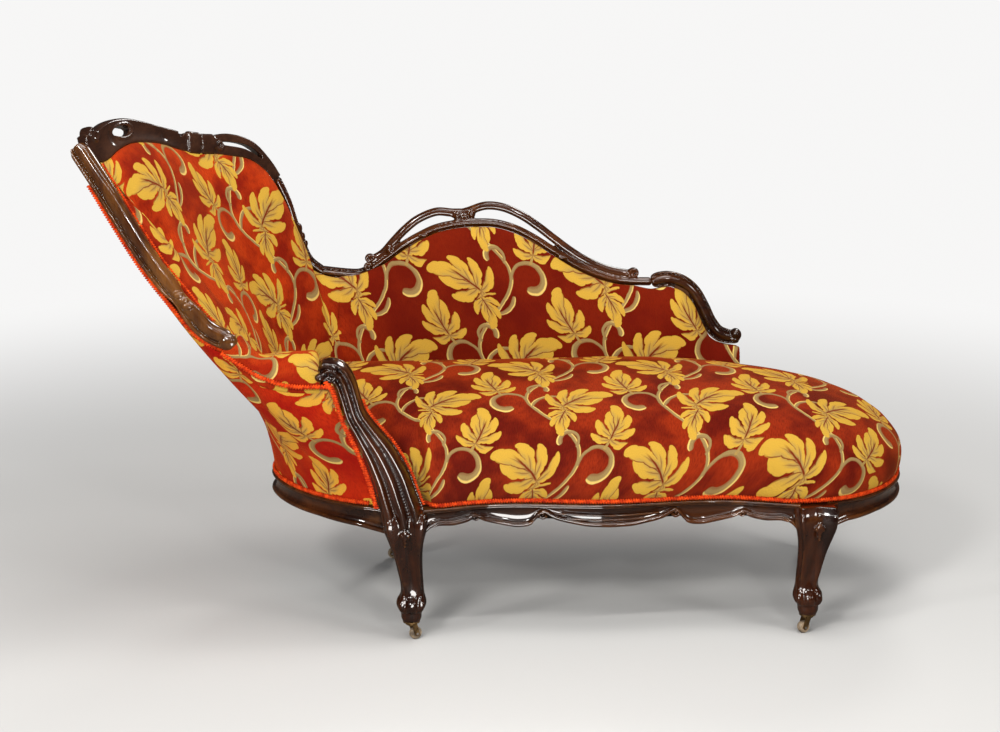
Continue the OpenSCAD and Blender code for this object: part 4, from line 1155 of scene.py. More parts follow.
def fused(meshes: Sequence[bpy.types.Mesh], name: str, voxel: float = VOXEL,
          holes: Sequence[bpy.types.Mesh] = (), soften: int = 3) -> bpy.types.Mesh:
    """Joins carved shapes into one closed skin, as if cut from one board.

    Args:
        meshes: Closed shapes that overlap.
        name: Name of the result.
        voxel: Fineness of the new skin.
        holes: Closed shapes that are cut out.
        soften: How often the skin is smoothed.

    Returns:
        The skin.
    """
    obj = new_object(name, tidy(join([tidy(m) for m in meshes], name)))
    cutters = [new_object(f"{name}_hole{i}", tidy(hole)) for i, hole in enumerate(holes)]
    modify(obj, "REMESH", mode="VOXEL", voxel_size=voxel)
    for cutter in cutters:
        modify(obj, "BOOLEAN", operation="DIFFERENCE", object=cutter, solver="EXACT")
    if cutters:
        modify(obj, "REMESH", mode="VOXEL", voxel_size=voxel)
    modify(obj, "SMOOTH", factor=0.5, iterations=soften)
    mesh = evaluated(obj)
    for cutter in cutters:
        bpy.data.objects.remove(cutter)
    shade_smooth(mesh)
    return mesh


def sweep(path: Array, face: Array | Place, section: Array, width: Array | float,
          depth: Array | float) -> bpy.types.Mesh:
    """Moulding along a path.

    Args:
        path: Points of the path.
        face: Which way the moulding's face looks, one vector or one for each point.
        section: Outline across the moulding, with its face at +1.
        width: Width across the face.
        depth: Depth from face to back.

    Returns:
        The mesh.
    """
    n = len(path)
    t = tangents(path)
    out = square_to(np.broadcast_to(np.asarray(face, float), (n, 3)), t)
    across = np.cross(t, out)
    w, d = (np.broadcast_to(np.asarray(v, float), n)[:, None, None] / 2 for v in (width, depth))
    return skin(path[:, None] + across[:, None] * section[None, :, 0:1] * w
                + out[:, None] * section[None, :, 1:2] * d)


def oval(count: int, power: float = 0.8) -> Array:
    """Rounded section of unit half width and depth."""
    a = round_trip(count)
    return np.stack([squared(np.cos(a), power), squared(np.sin(a), power)], 1)


def half_round(x: float) -> float:
    """Height of a half round of radius one at a place across it."""
    return math.sqrt(max(0.0, 1 - x ** 2))


def moulded(dome: float, beads: float) -> Array:
    """Section of a moulding with a domed middle, a bead along each edge and a flat back.

    Args:
        dome: Half width of the dome.
        beads: Width of a bead.

    Returns:
        Outline points.
    """
    rows = []
    for a in np.linspace(-1, 1, 41):
        x = abs(a)
        if x > 1 - beads:
            b = 0.25 + 0.38 * half_round((x - 1 + beads / 2) / (beads / 2))
        elif x > dome:
            b = 0.12
        else:
            b = 0.2 + 0.8 * half_round(x / dome) ** 0.9
        rows.append((a, b))
    return np.array(rows + [(1.0, -0.7), (0.85, -1.0), (-0.85, -1.0), (-1.0, -0.7)])


def stile_section() -> Array:
    """Section of the head's stile: a broad dome, a groove and a small bead towards the pad.

    Returns:
        Outline points.
    """
    rows = []
    for a in np.linspace(-1, 1, 45):
        if a < 0.46:
            b = -0.15 + 1.15 * half_round((a + 0.27) / 0.74) ** 0.85
        elif a < 0.56:
            b = -0.05
        else:
            b = 0.1 + 0.45 * half_round((a - 0.78) / 0.23)
        rows.append((a, b))
    return np.array(rows + [(1.0, -0.7), (0.85, -1.0), (-0.85, -1.0), (-1.0, -0.6)])


def crest_section() -> Array:
    """Section of the crest board, hollow on both faces.

    Returns:
        Outline points.
    """
    rows = [(a, 1.0 - 0.16 * abs(a) ** 4) for a in np.linspace(-1, 1, 13)]
    rows += [(0.78 + 0.22 * abs(b) ** 1.5, b) for b in np.linspace(0.75, -0.8, 11)]
    rows += [(a * 0.94, -1.0) for a in np.linspace(1, -1, 9)]
    rows += [(-0.78 - 0.22 * abs(b) ** 1.5, b) for b in np.linspace(-0.8, 0.75, 11)]
    return np.array(rows)


def arc(x: float, z: float, wide: float, tall: float, degrees: Sequence[float]) -> list[tuple[float, float]]:
    """Points of an oval about a middle at some angles."""
    return [(x + wide * math.cos(a), z + tall * math.sin(a)) for a in np.radians(degrees)]


def ellipse(centre: Array | float, x: Array, y: Array, angles: Array, long: float, high: float) -> Array:
    """Points of an oval, its sizes given in widths of the low rail.

    Args:
        centre: Its middle.
        x: Direction of its length.
        y: Direction of its height.
        angles: Where on the round the points lie.
        long: Its length.
        high: Its height.

    Returns:
        The points.
    """
    part = COUCH.low_rail_w
    across = x * (np.cos(angles) * long)[:, None] * part / 2
    return centre + across + y * (np.sin(angles) * high)[:, None] * part / 2


def tapered(path: Array, size: float, ends: float = 0.01, last: float | None = None,
            smallest: float = 0.35) -> Array:
    """Size along a path that rounds off towards its ends.

    Args:
        path: The path.
        size: Full size.
        ends: Length over which the start rounds off.
        last: Length over which the end rounds off.
        smallest: Share of the size left at an end.

    Returns:
        One size for each point.
    """
    run = travelled(path)
    last = ends if last is None else last
    a = np.clip(run / max(ends, 1e-6), 0, 1)
    b = np.clip((run[-1] - run) / max(last, 1e-6), 0, 1)
    return size * (smallest + (1 - smallest) * np.sqrt(1 - (1 - np.minimum(a, b)) ** 2))


def ball(centre: Place, radii: Place, turn: Matrix | None = None) -> bpy.types.Mesh:
    """Carved boss: a rounded drop.

    Args:
        centre: Its middle.
        radii: Half sizes along its three axes.
        turn: How it is turned.

    Returns:
        The mesh.
    """
    rings = [[(math.cos(lat) * math.cos(a), math.cos(lat) * math.sin(a), math.sin(lat))
              for a in round_trip(16)] for lat in np.linspace(-0.49 * np.pi, 0.49 * np.pi, 11)]
    p = np.array(rings) * np.array(radii)
    if turn is not None:
        p = p @ np.array(turn.to_3x3()).T
    return skin(p + np.array(centre))


def volute(centre: Place, along: Place, face: Place, radius: float, turns: float, width: float, depth: float,
           hand: int = 1, start: float = 0.0) -> bpy.types.Mesh:
    """Carved scroll that winds into its eye.

    Args:
        centre: The eye.
        along: Direction in the scroll's plane from which the winding is counted.
        face: Which way the scroll's face looks.
        radius: Outer radius.
        turns: Turns from the outer end into the eye.
        width: Width of the winding at its outer end.
        depth: Depth of the winding.
        hand: 1 to wind anticlockwise seen from the face, -1 to wind clockwise.
        start: Angle of the outer end.

    Returns:
        The mesh.
    """
    face_v, along_v = unit(np.array(face, float)), np.array(along, float)
    x = unit(along_v - face_v * float(along_v @ face_v))
    y = np.cross(face_v, x) * hand
    a = np.linspace(0, 2 * np.pi * turns, int(20 * turns) + 6)
    r = radius * (1 - 0.86 * (a / a[-1]) ** 0.8)
    path = np.array(centre) + x * (r * np.cos(a + start))[:, None] + y * (r * np.sin(a + start))[:, None]
    return sweep(path, face_v, oval(14), width * (1 - 0.55 * a / a[-1]), depth * (1 - 0.15 * a / a[-1]))


def finish_piece(mesh: bpy.types.Mesh, name: str, finish: str, nodes: Sequence[str], sharp: float = 0.0) -> bpy.types.Object:
    """Turns a mesh into a piece of the couch.

    Args:
        mesh: The mesh.
        name: Name of the piece.
        finish: Key of its finish.
        nodes: Nodes that it stands for.
        sharp: Angle in degrees above which edges stay crisp, or 0.

    Returns:
        The piece.
    """
    obj = new_object(name, mesh)
    mesh.name = name
    mesh.materials.clear()
    mesh.materials.append(Finishes.get(finish))
    if sharp:
        mesh.set_sharp_from_angle(angle=math.radians(sharp))
    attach(obj, BODY)
    if nodes:
        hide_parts(*nodes)
    LOG.info("%s: %d faces", name, len(mesh.polygons))
    return obj


def carve(parts: Sequence[bpy.types.Mesh], node: str, look: str, finish: str, *others: str,
          **settings: object) -> None:
    """Makes carved shapes into the piece that stands for a node.

    Args:
        parts: The shapes.
        node: The node.
        look: What is added to the node's name for the piece's name.
        finish: Key of the finish.
        others: Further nodes that the piece stands for.
        settings: Settings of `fused`.
    """
    finish_piece(fused(parts, node, **settings), f"{node}_{look}", finish, [node, *others])


@dataclass
class SeatFrame:
    """The three curved seat rails with their beads and carved apron."""

    apron: tuple = ((0, -0.19), (0.1, -0.15), (0.2, 0.06), (0.26, 0.24), (0.28, 0.5), (0.31, 0.5),
                    (0.335, 0), (0.37, -0.17), (0.43, -0.2), (0.52, -0.05), (0.62, 0.14), (0.68, 0.38),
                    (0.73, 0.2), (0.81, 0.1), (0.89, 0.16), (0.94, 0), (1, -0.5))
    end_apron: tuple = ((0, -0.45), (0.08, -0.1), (0.2, 0), (0.8, 0), (0.92, -0.1), (1, -0.4))
    blur: tuple = (0.1, 0.2, 0.4, 0.2, 0.1)
    beads: tuple = ((0.335, 0.66, 0.0035), (0.69, 0.93, 0.003))
    scrolls: tuple = ((0.305, 0.0092, 0.50), (0.675, 0.0062, 0.42))
    lines: tuple = (0.50, 0.28)
    line_span: float = 0.235
    crisp: float = 48

    def rail(self, line: Array, low: Array) -> bpy.types.Mesh:
        """Moulded rail.

        Args:
            line: Its outer line in plan.
            low: Height of its lower edge at each point.

        Returns:
            The mesh.
        """
        c = COUCH
        b, top = c.bead, c.rail_h
        rows = []
        for p, n, z in zip(line, rightward(tangents(line)), low):
            back = max(top - c.rail_deep, z + b)
            low_z, high_z = z + 1.95 * b, top - 2.0 * b
            prof = [(-1.3 * b, z)]
            prof += arc(0.1 * b, z + 0.95 * b, 0.95 * b, 0.95 * b, (-110, -70, -35, -5, 25, 55, 85, 112))
            prof += [(-0.42 * b - 0.55 * b * math.sin(math.pi * v), low_z + (high_z - low_z) * v)
                     for v in (0.02, 0.2, 0.4, 0.6, 0.8, 0.98)]
            prof += arc(-0.05 * b, top - 1.62 * b, 0.3 * b, 0.32 * b, (-80, -30, 20, 70))
            prof += arc(0.35 * b, top - 0.66 * b, 0.62 * b, 0.62 * b, (-120, -75, -35, 0, 35, 70))
            prof += [(-c.rail_t, top), (-c.rail_t, back), (-c.rail_t * 0.6, back)]
            rows.append([(p[0] + n[0] * q, p[1] + n[1] * q, h) for q, h in prof])
        return skin(np.array(rows))

    def front_rail(self) -> None:
        """Makes the front rail with its carved apron: beads, scrolls and two lines on its middle."""
        c = COUCH
        low = c.rail_h - c.rail_deep
        front = c.line(c.front, 16)
        signed = np.linspace(-1, 1, len(front))
        share = np.abs(signed)
        edge = low + c.rail_deep * np.interp(share, *zip(*self.apron))
        edge = np.convolve(np.pad(edge, 2, "edge"), self.blur, "valid")
        right = rightward(tangents(front))
        out = np.column_stack([right, np.zeros(len(right))])
        parts = [self.rail(front, edge)]
        for side in (-1, 1):
            for start, stop, rise in self.beads:
                keep = np.flatnonzero((side * signed > start) & (side * signed < stop))[::side]
                path = (np.column_stack([front, edge]) + out * 0.0052)[keep] + (0, 0, rise)
                parts.append(sweep(path, out[keep], oval(12), tapered(path, 0.0072, 0.006, 0.05, 0.3), 0.007))
            for place, size, height in self.scrolls:
                i = int(round((0.5 + side * place / 2) * (len(front) - 1)))
                centre = np.append(front[i], low + c.rail_deep * height - 0.002) + out[i] * 0.0035
                parts.append(volute(centre, (side, 0, 0), out[i], size, 1.15, size * 0.7, 0.008, side, 3.4))
        keep = share < self.line_span
        for height in self.lines:
            bow = height - 0.1 * (1 - (share[keep] / self.line_span) ** 2)
            path = np.column_stack([front[keep] + right[keep] * -0.0008, low + c.rail_deep * bow])
            parts.append(sweep(path, FORWARD, oval(10), tapered(path, 0.0042), 0.006))
        mesh = join([tidy(p) for p in parts], "front_rail")
        finish_piece(mesh, "front_rail_carved", "wood_x", ["front_rail"], self.crisp)

    def end_rail(self, line: Array, node: str) -> None:
        """Makes one end rail.

        Args:
            line: Its outer line in plan.
            node: The node it stands for.
        """
        c = COUCH
        rise = np.interp(np.linspace(0, 1, len(line)), *zip(*self.end_apron))
        mesh = tidy(self.rail(line, c.rail_h - c.rail_deep + c.rail_deep * rise))
        finish_piece(mesh, node + "_moulded", "wood_x", [node], self.crisp)

    def build(self) -> None:
        """Makes the rails."""
        self.front_rail()
        self.end_rail(COUCH.line(COUCH.foot, 14), "foot_end_rail")
        self.end_rail(COUCH.line(COUCH.head, 12)[::-1], "head_end_rail")


@dataclass
class Legs:
    """Two cabriole legs in front and two plain swept legs behind."""

    knee: tuple = ((1, 0.12, 0.06, 1.02, 0.72), (0.92, 0.12, -0.03, 1.04, 0.78),
                   (0.83, 0.12, -0.06, 0.98, 0.76), (0.75, 0.11, -0.055, 0.85, 0.7),
                   (0.67, 0.09, -0.04, 0.74, 0.62), (0.57, 0.055, -0.01, 0.64, 0.57),
                   (0.45, 0.02, 0.04, 0.575, 0.52), (0.33, -0.02, 0.065, 0.525, 0.49),
                   (0.25, -0.03, 0.06, 0.53, 0.5), (0.19, -0.01, 0.02, 0.6, 0.58),
                   (0.14, 0, -0.01, 0.615, 0.58), (0.09, 0, 0, 0.55, 0.52), (0.05, 0, 0, 0.44, 0.44),
                   (0, 0, 0, 0.4, 0.4))
    flower: tuple = ((0, 0.243, 0.0062), (-0.0062, 0.238, 0.0045), (0.0062, 0.238, 0.0045),
                     (0, 0.232, 0.0055), (0, 0.224, 0.0042), (0, 0.216, 0.0032))
    rear: tuple = ((1, 0, 1), (0.8, 0, 1), (0.6, 0.04, 0.86), (0.4, 0.12, 0.76), (0.2, 0.22, 0.7),
                   (0, 0.32, 0.68))
    knee_w: float = 0.092
    rear_w: float = 0.056

    def front_parts(self, x: float, y: float, hand: int) -> list[bpy.types.Mesh]:
        """Shapes of a cabriole leg with two ridges, a bellflower on the knee and a lobed foot.

        Args:
            x: Place along the couch.
            y: Place across it.
            hand: -1 at the head end, 1 at the foot end.

        Returns:
            The shapes, to be fused.
        """
        phi = round_trip(64)
        face = np.angle(np.exp(1j * (phi + np.pi / 2)))
        rings = []
        for z, dx, dy, w, d in spline(self.knee, 5):
            ridge = bell(np.abs(face), 0.60, 0.20) - 0.85 * bell(face, 0, 0.28) \
                - 0.7 * bell(np.abs(face), 1.15, 0.26)
            arris = 1 + 0.25 * np.clip((z - 0.26) / 0.1, 0, 1) * ridge
            lobes = 1 + 0.44 * (np.abs(np.cos(3.5 * face)) ** 0.6 - 0.7) * bell(z, 0.165, 0.06) \
                - 0.12 * bell(z, 0.083, 0.012) + 0.10 * bell(z, 0.035, 0.018)
            px = squared(np.cos(phi), 0.85) * w * arris * lobes
            py = squared(np.sin(phi), 0.85) * d * arris * lobes
            rings.append(np.stack([x + (hand * dx + px / 2) * self.knee_w, y + (dy + py / 2) * self.knee_w,
                                   np.full(len(phi), COUCH.leg_height(z))], 1))
        middle, front = x + hand * 0.13 * self.knee_w, y - 0.45 * self.knee_w
        petals = [ball((middle + dx, front + 0.0015 + (0.24 - dz) * 0.15, dz), (size, 0.005, size * 1.25))
                  for dx, dz, size in self.flower]
        return [skin(np.array(rings)[::-1]), *petals]

    def rear_leg(self, x: float, y: float, node: str) -> None:
        """Makes a plain rear leg.

        Args:
            x: Place along the couch.
            y: Place across it.
            node: The node it stands for.
        """
        section = oval(32, 0.6)
        rings = []
        for z, back, w in spline(self.rear, 6):
            p = section * w * self.rear_w / 2 + (x, y + (back - 0.32) * self.rear_w)
            rings.append(np.column_stack([p, np.full(len(p), COUCH.leg_height(z))]))
        finish_piece(tidy(skin(np.array(rings)[::-1])), node + "_shaped", "wood_z_shaded", [node], 50)

    def build(self) -> None:
        """Makes three of the legs; the fourth is one piece with the arm post."""
        carve(self.front_parts(*COUCH.legs[1], 1), "leg_front_foot", "carved", "wood_z_shaded", soften=2)
        self.rear_leg(*COUCH.legs[2], "leg_rear_head")
        self.rear_leg(*COUCH.legs[3], "leg_rear_foot")


@dataclass
class ShowWood:
    """The carved wood round the arm, head and side back."""

    post_y: float = -0.276
    notch_at: float = 0.31
    per: int = 9
    leaf_tips: tuple = (0.44, 0.52, 0.60)
    dip_balls: tuple = ((-0.016, -0.005, 0.0095), (0.0, -0.010, 0.011), (0.016, -0.002, 0.0095))

    def wood_face(self, wall: Wall, points: Array) -> Array:
        """Inward direction of the wall's top nearest to each point.

        Args:
            wall: The wall.
            points: Points near its top.

        Returns:
            One direction for each point.
        """
        d = wall.dense(4)
        n = d.grid(0.9, 1.0, 3)[1]
        near = np.argmin(np.linalg.norm(points[:, None] - d.tops[None], axis=2), axis=1)
        return unit(n[near, 2])

    def arm_post(self) -> None:
        """Makes the S-shaped arm post with its long flutes, scroll and knob, and the leg below it."""
        x, z, wide = COUCH.post_rows().T
        rows = np.column_stack([x, np.full(len(x), self.post_y), z, wide])
        rows = spline(np.vstack([[(-0.2215, self.post_y, 0.250, 0.088)], rows]), 8)
        path, wide = rows[:, :3], rows[:, 3]
        section = oval(96)
        rise = np.sin(round_trip(96))
        reed = np.abs(np.sin(np.pi * (section[:, 0] + 1) * 1.55)) ** 0.75
        section[:, 1] -= np.where(rise > 0, 0.72 * (1 - reed) * np.minimum(1, 3 * rise), 0)
        parts = [sweep(path, FORWARD, section, wide * 1.02, tapered(path, 0.056, 0.004, 0.03, 0.65)),
                 volute((-0.374, -0.282, 0.577), ALONG, FORWARD, 0.022, 1.3, 0.016, 0.040, -1, 4.2),
                 ball((-0.390, -0.298, 0.573), (0.0095, 0.010, 0.0085))]
        parts += Legs().front_parts(*COUCH.legs[0], -1)
        carve(parts, "arm_post", "and_leg", "wood_z_shaded", "leg_front_head", soften=2)

    def front_stile(self) -> None:
        """Makes the front stile with its domed moulding, notch and round knob."""
        c = COUCH
        path = spline(HEAD_WALL.tops[STARTS["stile"]:STARTS["crest"]], 10)
        last = unit(path[-1] - path[-2])
        path = np.vstack([path, path[-1] + last * c.stile_over * 0.5, path[-1] + last * c.stile_over])
        waist = 1 - 0.30 * bell(np.linspace(0, 1, len(path)), self.notch_at, 0.045)
        wide = tapered(path, c.stile_w, 0.012, 0.008, 0.7) * waist
        parts = [sweep(path, FORWARD, stile_section() * (-1, 1), wide, c.stile_t * 1.1)]
        i = int(self.notch_at * len(path))
        way = tangents(path)[i]
        inner = np.cross(way, FORWARD)
        inner = inner if inner[0] > 0 else -inner
        for k in (-1, 0, 1):
            lobe = path[i] + way * 0.0145 * k + inner * (0.008 - 0.002 * abs(k)) + (0, -0.0135, 0)
            parts.append(ball(lobe, (0.0105, 0.0072, 0.0078)))
        parts.append(ball(path[0] + (0.001, -0.006, -0.001), (0.0185, 0.0135, 0.0185)))
        carve(parts, "front_stile", "moulded", "wood_stile_lit", voxel=FINE_VOXEL, soften=2)

    def crest_rows(self) -> tuple[Array, Array, Array, Array, Array]:
        """Lines along the crest board.

        Returns:
            Its path, directions along it, up it and out of its face, and its rows of rise and height.
        """
        span = slice(STARTS["crest"] - 1, STARTS["rear"] + 1)
        tops, feet = HEAD_WALL.tops[span], HEAD_WALL.feet[span]
        board = np.array(COUCH.crest_board) * COUCH.low_rail_w
        rows = spline(np.hstack([tops, board, unit(tops - feet)]), self.per)
        t = tangents(rows[:, :3])
        up = square_to(rows[:, 5:8], t)
        return rows[:, :3], t, up, np.cross(t, up), rows[:, 3:5]

    def crest(self) -> None:
        """Makes the crest board with its two pierced holes, block, curls and end knob."""
        c = COUCH
        path, t, up, side, board = self.crest_rows()
        section = crest_section()
        middle = path + up * board[:, :1]
        top_line = middle + up * board[:, 1:] / 2
        parts = [skin(middle[:, None] + up[:, None] * section[None, :, 1:2] * board[:, 1][:, None, None] / 2
                      + side[:, None] * section[None, :, 0:1] * c.stile_t * 0.52),
                 sweep(top_line[4:68] - up[4:68] * 0.003, up[4:68], oval(12), 0.0235, 0.008)]
        slot = slice(int(8.75 * self.per), int(10.9 * self.per))
        line = (middle + up * 0.002)[slot]
        i = int(6.75 * self.per)
        holes = [sweep(line, side[slot], oval(16), tapered(line, 0.0095, 0.035, 0.05, 0.25), 0.09),
                 ball(middle[i] + up[i] * board[i, 1] * 0.62, (0.009, 0.03, 0.012))]
        for k, dish in ((2.0, (0.017, 0.008, 0.021)), (5.3, (0.020, 0.007, 0.010))):
            i = int(round(k * self.per))
            turn = Matrix((t[i], side[i], up[i])).transposed()
            holes.append(ball(middle[i] + side[i] * (0.0125 + dish[1] * 0.55) - up[i] * 0.002, dish, turn))
        self.eye(int(round(2.8 * self.per)), parts, holes)
        for k in (7.15, 7.9):
            i = int(round(k * self.per))
            parts.append(sweep(middle[i - 3:i + 4:3], up[i], oval(16, 0.35), 0.038, board[i, 1] * 1.22))
        i = int(round(8.6 * self.per))
        knob = top_line[6] - up[0] * 0.006
        parts += [volute(middle[i] + side[i] * 0.004, t[i], side[i], 0.016, 1.2, 0.010, 0.032, 1, 2.4),
                  volute(knob, up[0], side[0], 0.016, 1.4, 0.012, 0.034, 1, 0.5),
                  ball(knob, (0.011, 0.011, 0.011))]
        carve(parts, "head_crest", "carved", "wood_crest", holes=holes)

    def eye(self, i: int, parts: list[bpy.types.Mesh], holes: list[bpy.types.Mesh]) -> None:
        """Adds the oval hole near the crest's front end, with a rim on both faces.

        Args:
            i: Row of the crest at its middle.
            parts: The crest's shapes, added to.
            holes: The crest's holes, added to.
        """
        long, high, rim, tilt = 4.0, 1.3, 0.35, math.radians(-4)
        path, t, up, side, _ = self.crest_rows()
        centre = path[i] + up[i] * 1.2 * COUCH.low_rail_w
        x = t[i] * math.cos(tilt) + up[i] * math.sin(tilt)
        y = up[i] * math.cos(tilt) - t[i] * math.sin(tilt)
        lean = unit(side[i] * 0.55 - np.array((0.05, 0.97, -0.24)) * np.sign(side[i][1]) * -0.45)
        outline = ellipse(0, x, y, round_trip(28), long, high)
        holes.append(skin(np.array([centre + lean * k + outline for k in (-0.06, -0.0, 0.06)])))
        for s in (-1, 1):
            ring = ellipse(centre + side[i] * s * 0.0125, x, y, np.linspace(0, 2 * np.pi, 40),
                           long + rim, high + rim)
            parts.append(sweep(ring, side[i], oval(8), 0.005, 0.007))

    def rear_stile(self) -> None:
        """Makes the slim rear stile with its leaf tips."""
        path = spline(HEAD_WALL.tops[STARTS["rear"]:-1], 8)
        face = self.wood_face(HEAD_WALL, path)
        wide = tapered(path, COUCH.rear_stile_w, 0.003, 0.006, 0.8)
        parts = [sweep(path, face, moulded(0.6, 0.2), wide, COUCH.stile_t)]
        up = np.cross(tangents(path), face)
        for k, share in enumerate(self.leaf_tips):
            i = int(share * len(path))
            outer = -up[i] if up[i][0] < 0 else up[i]
            parts.append(ball(path[i] + outer * 0.012 + face[i] * 0.002, (0.0075, 0.009, 0.013 - 0.002 * k)))
        carve(parts, "rear_stile", "leafed", "wood_z_shaded", voxel=FINE_VOXEL)

    def valley_rail(self) -> None:
        """Makes the low rail between the rear stile and the arch."""
        points = np.vstack([HEAD_WALL.tops[STARTS["rear"] + 5:], SIDE_WALL.tops[1:3]])
        path = spline(np.delete(points, 1, axis=0), 12)
        wide = tapered(path, COUCH.valley_w, 0.004, 0.004, 0.85)
        parts = [sweep(path, (0.1, -1, 0), moulded(0.6, 0.2), wide, COUCH.stile_t),
                 volute(path[-6] + (0, -0.010, 0.010), ALONG, FORWARD, 0.010, 1.3, 0.007, 0.012, 1, 0.5)]
        carve(parts, "valley_rail", "curled", "wood_x", voxel=FINE_VOXEL)

    def arch(self) -> None:
        """Makes the pierced arch: lower rail, two loops, the dip ornament and the end curls."""
        c = COUCH
        low = spline(SIDE_WALL.tops[2:len(c.arch_rows) + 1], 8)
        left, right = (spline(c.places(loop, c.valley_h, c.arch_h), 8)
                       for loop in (c.left_loop, c.right_loop))
        face = (0, -1, 0.12)
        round_rail = oval(20, 0.75)
        dip = (left[-1] + right[6]) / 2
        parts = [sweep(low, face, moulded(0.6, 0.22), tapered(low, c.low_rail_w * 1.06, 0.004), c.stile_t),
                 sweep(left, face, round_rail, tapered(left, c.loop_w, 0.03, 0.012, 0.4), c.loop_t),
                 sweep(right, face, round_rail, tapered(right, c.loop_w, 0.02, 0.03, 0.4), c.loop_t)]
        parts += [ball(dip + (dx, -0.004, dz), (size, 0.013, size * 1.15)) for dx, dz, size in self.dip_balls]
        for dx in (-0.012, 0.012):
            path = np.array([dip + (dx, 0, 0.0), dip + (dx * 1.3, 0, -0.015), dip + (dx * 2.4, 0, -0.034)])
            parts.append(sweep(spline(path, 6), face, oval(12), 0.010, 0.018))
        parts += [volute(left[2] + (-0.002, -0.006, 0.004), ALONG, FORWARD, 0.011, 1.2, 0.008, 0.018, 1, 0.2),
                  volute(right[-1] + (0.004, -0.005, 0.0), ALONG, FORWARD, 0.013, 1.4, 0.009, 0.020, -1, 2.5),
                  ball(low[10] + (0.0, -0.004, 0.014), (0.008, 0.010, 0.008))]
        parts += [ball(low[k] + (0, -0.013, 0), (0.012, 0.003, 0.004)) for k in (26, 84)]
        carve(parts, "arch_rail", "pierced", "wood_x")

    def shoulder(self) -> None:
        """Makes the shoulder rail with its end scroll."""
        c = COUCH
        path = spline(SIDE_WALL.tops[len(c.arch_rows):], 10)
        wide = tapered(path, c.shoulder_w, 0.02, 0.05, 0.5)
        parts = [sweep(path, (0, -1, 0.1), moulded(0.62, 0.2), wide, c.stile_t),
                 volute(path[-1] + (-0.010, -0.003, 0.012), ALONG, FORWARD, 0.0145, 1.3, 0.010, 0.028, 1,
                        4.0),
                 ball(path[-1] + (-0.010, -0.014, 0.012), (0.008, 0.006, 0.008))]
        carve(parts, "shoulder_rail", "scrolled", "wood_x")

    def build(self) -> None:
        """Makes all the show-wood above the seat."""
        for make in (self.arm_post, self.front_stile, self.crest, self.rear_stile, self.valley_rail,
                     self.arch, self.shoulder):
            make()


